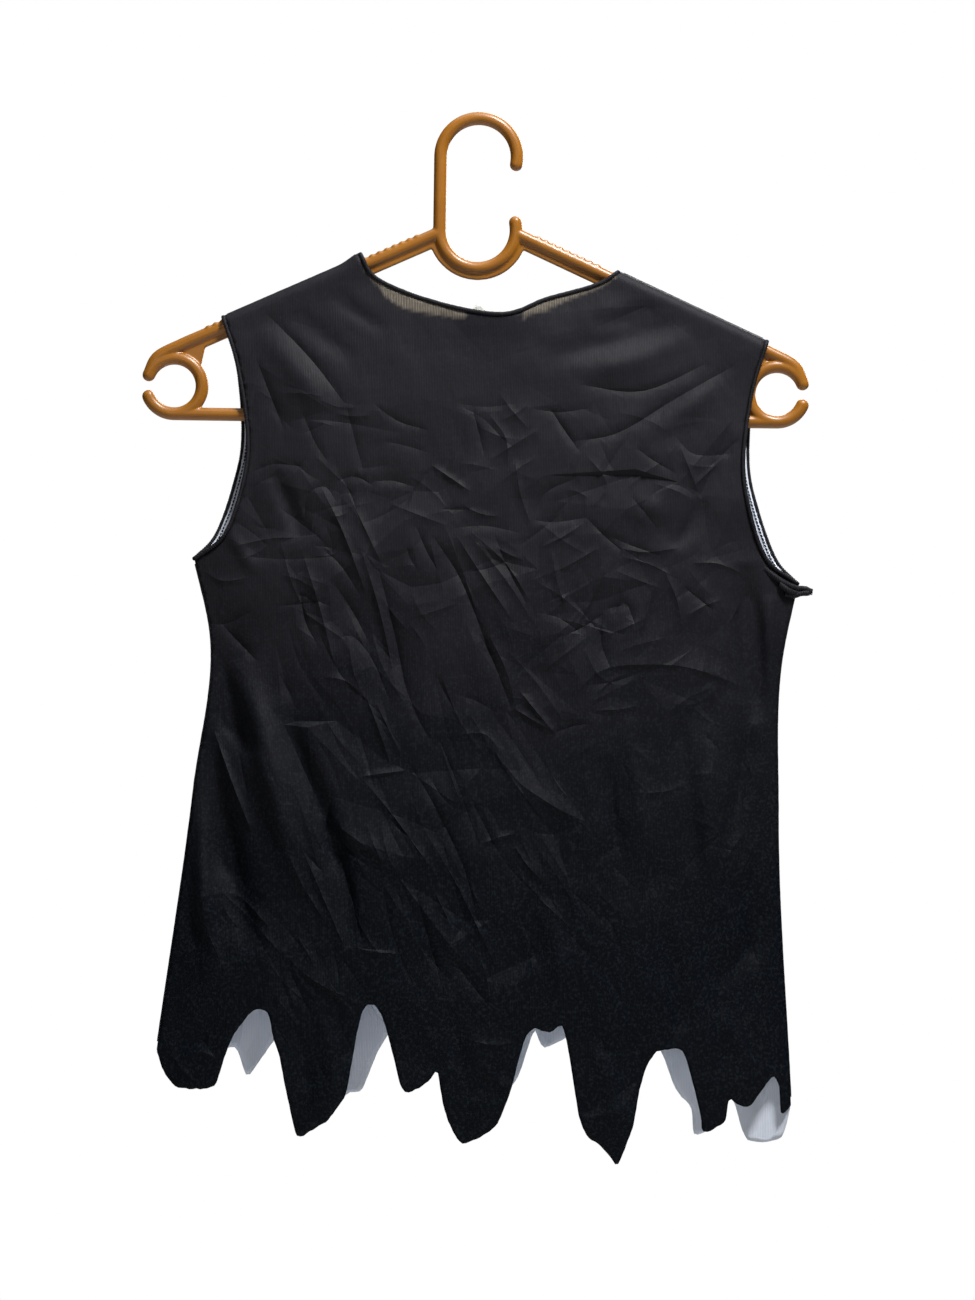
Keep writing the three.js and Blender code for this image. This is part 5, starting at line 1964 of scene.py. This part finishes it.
@dataclass
class Hanger:
    """The hanger as one moulding: hook, lower loop, arms with grip bumps, clip rings, trouser bar and ribs."""

    sizes: HangerSizes
    finishes: Finishes
    voxel: float = 0.65
    bend_run: float = 14
    bend_right: float = 0.6
    bend_up: float = 1.02
    grip_start: float = 1.6
    grip_half_width: float = 1.2

    def arc(self, x: float, z: float, radius: float, start: float, end: float) -> Array:
        """Returns points on an arc in the hanger's plane, angles in degrees anticlockwise from +X."""
        angles = np.radians(np.linspace(start, end, max(3, round(abs(end - start) / 3))))
        return np.stack([x + radius * np.cos(angles), 0 * angles, z + radius * np.sin(angles)], axis=1)

    def hook(self) -> Array:
        """Returns the centre line of the hook and the lower loop."""
        s = self.sizes
        return np.vstack([
            self.arc(0, -s.hook_radius, s.hook_line, -11, 180),
            self.arc(0, s.loop_z, s.hook_line, 180, 372),
        ])

    def arm(self, side: Side) -> Array:
        """Returns one arm's centre line, from the lower loop to the lip of its clip ring."""
        s = self.sizes
        lip = math.asin((s.clip_mouth / 2 + s.rod / 2) / s.clip_line)
        end = s.arm_end
        first = end - self.bend_run
        turn = [
            (s.clip_x + s.clip_line * self.bend_right, s.clip_z + s.clip_line * self.bend_up),
            (s.clip_x + s.clip_line * math.cos(lip), s.clip_z + s.clip_line * math.sin(lip)),
        ]
        bend = smooth_line([(first, float(s.arm_z(first))), (end, float(s.arm_z(end))), *turn], 1.2)
        line = np.vstack([[(s.hook_line, float(s.arm_z(s.hook_line)))], bend])
        return np.stack([side.value * line[:, 0], np.zeros(len(line)), line[:, 1]], axis=1)

    def clip(self, side: Side) -> Array:
        """Returns the centre line of one clip ring, from its lower lip round to its upper one."""
        s = self.sizes
        lip = math.degrees(math.asin((s.clip_mouth / 2 + s.rod / 2) / s.clip_line))
        ring = self.arc(s.clip_x, s.clip_z, s.clip_line, -lip, lip - 360)
        return ring * (side.value, 1, 1)

    def plate(self, outline: Sequence[Pair], width: float) -> bpy.types.Object:
        """Builds a flat rib of a given outline, centred in the hanger's plane.

        Args:
            outline: The rib's corners in X and Z, in millimetres.
            width: The rib's thickness, in millimetres.

        Returns:
            The rib.
        """
        count = len(outline)
        points = [(x, y, z) for y in (-width / 2, width / 2) for x, z in outline]
        faces = [list(range(count)), list(range(2 * count - 1, count - 1, -1))]
        faces += [(i, i + count, (i + 1) % count + count, (i + 1) % count) for i in range(count)]
        mesh = bpy.data.meshes.new("plate")
        mesh.from_pydata((np.array(points) * MM).tolist(), [], faces)
        shell = bmesh.new()
        shell.from_mesh(mesh)
        bmesh.ops.recalc_face_normals(shell, faces=shell.faces)
        shell.to_mesh(mesh)
        shell.free()
        return new_object("plate", mesh)

    def ribs(self) -> list[bpy.types.Object]:
        """Builds the stiffening ribs under the arms and the loop, and the webs at the clip rings."""
        s = self.sizes
        made = []
        drop = (s.rod / 2 + s.rib_depth) / math.cos(s.arm_slope)
        outer = s.clip_x - s.clip_line
        for side in Side:
            corners = [
                (s.hook_line, s.arm_z(s.hook_line)), (s.hook_line, s.arm_z(s.hook_line) - drop),
                (outer, s.arm_z(outer) - drop), (outer, s.arm_z(outer)),
            ]
            made.append(self.plate([(side.value * x, float(z)) for x, z in corners], s.rib_width))
            web = [
                (outer - 3, s.arm_z(outer - 3)), (outer + 1.5, s.clip_z + 9),
                (s.clip_x - 9, s.clip_z + 14.5), (s.arm_end, s.arm_z(s.arm_end)),
            ]
            made.append(self.plate([(side.value * x, float(z)) for x, z in web], s.rib_width))
        below = self.arc(0, s.loop_z, s.hook_line + s.rod / 2 + s.rib_depth, 200, 340)
        above = self.arc(0, s.loop_z, s.hook_line, 340, 200)
        made.append(self.plate([(p[0], p[2]) for p in np.vstack([below, above])], s.rib_width))
        return made

    def grips(self) -> list[Array]:
        """Returns the centre lines of the grip bumps, short bars across the top of each arm."""
        s = self.sizes
        lift = s.rod / 2 + 0.75 * s.grip_height - s.grip_radius
        lines = []
        last = s.clip_x - s.clip_line - s.grip_count * s.grip_pitch * math.cos(s.arm_slope)
        for side in Side:
            for first in (s.hook_line + s.rod * self.grip_start, last):
                for i in range(s.grip_count):
                    x = first + i * s.grip_pitch * math.cos(s.arm_slope)
                    across = side.value * (x + lift * math.sin(s.arm_slope))
                    up = float(s.arm_z(x)) + lift * math.cos(s.arm_slope)
                    depths = (-self.grip_half_width, 0, self.grip_half_width)
                    lines.append(np.array([(across, depth, up) for depth in depths]))
        return lines

    def build(self, rods: MouldedRods) -> bpy.types.Object:
        """Builds the moulding.

        Args:
            rods: The rods' node tree.

        Returns:
            The hanger as one closed skin.
        """
        s = self.sizes
        bar_z = s.clip_z - s.clip_line
        bar = np.array([(-s.clip_x, 0, bar_z), (0, 0, bar_z), (s.clip_x, 0, bar_z)])
        paths = [self.hook(), bar]
        for side in Side:
            paths += [self.arm(side), self.clip(side)]
        plastic = self.finishes.plastic
        parts = [rods.sweep(paths, s.rod / 2, plastic), rods.sweep(self.grips(), s.grip_radius, plastic)]
        piece = join_meshes("plastic_hanger", [*parts, *self.ribs()])
        skin = piece.modifiers.new("skin", "REMESH")
        skin.mode = "VOXEL"
        skin.voxel_size = self.voxel * MM
        smooth = piece.modifiers.new("smooth", "SMOOTH")
        smooth.factor = 0.5
        smooth.iterations = 3
        piece = finished(piece)
        piece.data.materials.clear()
        piece.data.materials.append(plastic)
        piece.data.polygons.foreach_set("material_index", np.zeros(len(piece.data.polygons), np.int32))
        shade_smooth(piece.data)
        return piece


# ---------------------------------------------------------------- the studio


@dataclass
class Studio:
    """The plain pale floor, the soft lights and the camera, in metres."""

    finishes: Finishes
    floor_z: float = -1.6
    floor_half: float = 3.2
    target: tuple = (0.0092, 0.0, -0.3108)
    distance: float = 1.4
    frame_height: float = 0.770
    roll: float = math.radians(0.8)
    ambient: float = 0.05

    def floor(self) -> None:
        """Lays the floor."""
        mesh = bpy.data.meshes.new("floor")
        half = self.floor_half
        corners = [(-half, -half), (half, -half), (half, half), (-half, half)]
        mesh.from_pydata([(x, y, self.floor_z) for x, y in corners], [], [(0, 1, 2, 3)])
        mesh.materials.append(self.finishes.floor)
        new_object("floor", mesh)

    def light(self, name: str, place: Sequence[float], aim: Sequence[float], size: float, power: float) -> None:
        """Adds one soft light.

        Args:
            name: Its name.
            place: Where it stands.
            aim: What it points at.
            size: The side of its square.
            power: Its power in watts.
        """
        data = bpy.data.lights.new(name, "AREA")
        data.shape = "SQUARE"
        data.size = size
        data.energy = power
        made = bpy.data.objects.new(name, data)
        made.location = place
        made.rotation_euler = (Vector(aim) - Vector(place)).to_track_quat("-Z", "Y").to_euler()
        bpy.context.scene.collection.objects.link(made)

    def world(self) -> None:
        """Sets an even pale surround, which the camera sees brighter than it lights."""
        world = bpy.data.worlds.new("surround")
        world.use_nodes = True
        tree = NodeTree(world.node_tree)
        world.node_tree.nodes.clear()
        seen = tree.add("ShaderNodeLightPath").outputs["Is Camera Ray"]
        strength = tree.math("MULTIPLY_ADD", seen, 1.0 - self.ambient, self.ambient)
        backdrop = tree.add("ShaderNodeBackground", {"Color": rgba((1, 1, 1)), "Strength": strength}).outputs[0]
        tree.add("ShaderNodeOutputWorld", {"Surface": backdrop})
        bpy.context.scene.world = world

    def camera(self) -> None:
        """Sets up the camera, level and straight on, turned by the hanger's lean on its nail."""
        data = bpy.data.cameras.new("camera")
        data.sensor_fit = "VERTICAL"
        data.angle_y = 2 * math.atan(self.frame_height / 2 / self.distance)
        made = bpy.data.objects.new("camera", data)
        made.location = Vector(self.target) - Vector((0, self.distance, 0))
        made.matrix_world = (
            Matrix.Translation(made.location)
            @ Matrix.Rotation(-self.roll, 4, "Y")
            @ Matrix.Rotation(math.pi / 2, 4, "X")
        )
        bpy.context.scene.collection.objects.link(made)
        bpy.context.scene.camera = made

    def build(self) -> None:
        """Builds the studio."""
        self.floor()
        self.world()
        aim = (0.0, 0.0, -0.28)
        self.light("overhead", (0.0, 0.0, 2.3), (0.0, 0.0, -1.6), 2.4, 34)
        self.light("key", (0.52, -0.72, 1.16), (0.0, 0.0, -0.33), 0.32, 47)
        self.light("front", (-0.5, -2.2, 0.2), aim, 1.0, 3.4)
        self.light("behind", (0.7, 1.9, 0.7), aim, 1.4, 44)
        bpy.context.scene.view_settings.view_transform = "Standard"
        self.camera()


# ---------------------------------------------------------------- the build


@dataclass
class Tunic:
    """The tunic: two panels, their seams and edgings, and the label."""

    finishes: Finishes
    cut: TunicCut
    surfaces: dict = field(init=False)

    def __post_init__(self) -> None:
        """Drapes both panels."""
        random = np.random.default_rng(CREASE_SEED)
        back = [Crease(*row) for row in BACK_CREASES]
        back += [crease for zone in BACK_ZONES for crease in zone.creases(random)]
        front = [crease for zone in FRONT_ZONES for crease in zone.creases(random)]
        self.surfaces = {
            Facing.BACK: ClothSurface(
                self.cut, Facing.BACK, back, FacetNet(BACK_PATCHES, BACK_NET_SEED), BACK_NOISE_SEED
            ),
            Facing.FRONT: ClothSurface(
                self.cut, Facing.FRONT, front, FacetNet(FRONT_PATCHES, FRONT_NET_SEED), FRONT_NOISE_SEED
            ),
        }

    def build(self) -> None:
        """Builds every piece of the tunic and sets it on its body."""
        edgings = Edgings(self.cut, self.surfaces, self.finishes, SewnLine())
        sewn = {"neck_edging": edgings.neck()}
        for side in Side:
            word = side.name.lower()
            sewn[f"{word}_armhole_edging"] = edgings.armhole(side)
            sewn[f"{word}_shoulder_seam"] = edgings.shoulder(side)
            sewn[f"{word}_side_seam"] = edgings.side(side)
        for node, piece in sewn.items():
            place_piece(piece, "tunic", "thread" if "edging" in node else "cloth", node)
        for facing, spacing in ((Facing.BACK, BACK_SPACING), (Facing.FRONT, FRONT_SPACING)):
            panel = Panel(self.cut, self.surfaces[facing], self.finishes, spacing)
            piece = panel.build()
            place_piece(piece, "tunic", "cloth", f"{facing.name.lower()}_panel")
            panel.flat_size()
        label = NeckLabel(self.finishes).build()
        place_piece(label, "label", "label", "neck_label")


def place_piece(piece: bpy.types.Object, body: str, slot: str, *nodes: str) -> None:
    """Sets a piece on its body and hides what it stands for.

    Args:
        piece: The piece.
        body: The body that it rides on.
        slot: A material slot's name, which is not used.
        nodes: The CAD nodes that it stands for.
    """
    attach(piece, body)
    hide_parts(*nodes)
    triangles = sum(len(p.vertices) - 2 for p in piece.data.polygons)
    LOG.info("%s rides on %s, %d triangles", piece.name, body, triangles)


def corners(box: tuple) -> list[list[float]]:
    """Returns a box's two corners as plain lists."""
    return [list(corner) for corner in box]


def main() -> None:
    """Builds the hanger, the tunic and the studio."""
    logging.basicConfig(level=logging.INFO, format="%(name)s: %(message)s")
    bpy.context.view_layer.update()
    finishes = Finishes()
    sizes = HangerSizes()
    Studio(finishes).build()
    hanger = Hanger(sizes, finishes).build(MouldedRods())
    place_piece(hanger, "hanger", "plastic", "hanger")
    Tunic(finishes, TunicCut(sizes)).build()


if __name__ == "__main__":
    main()
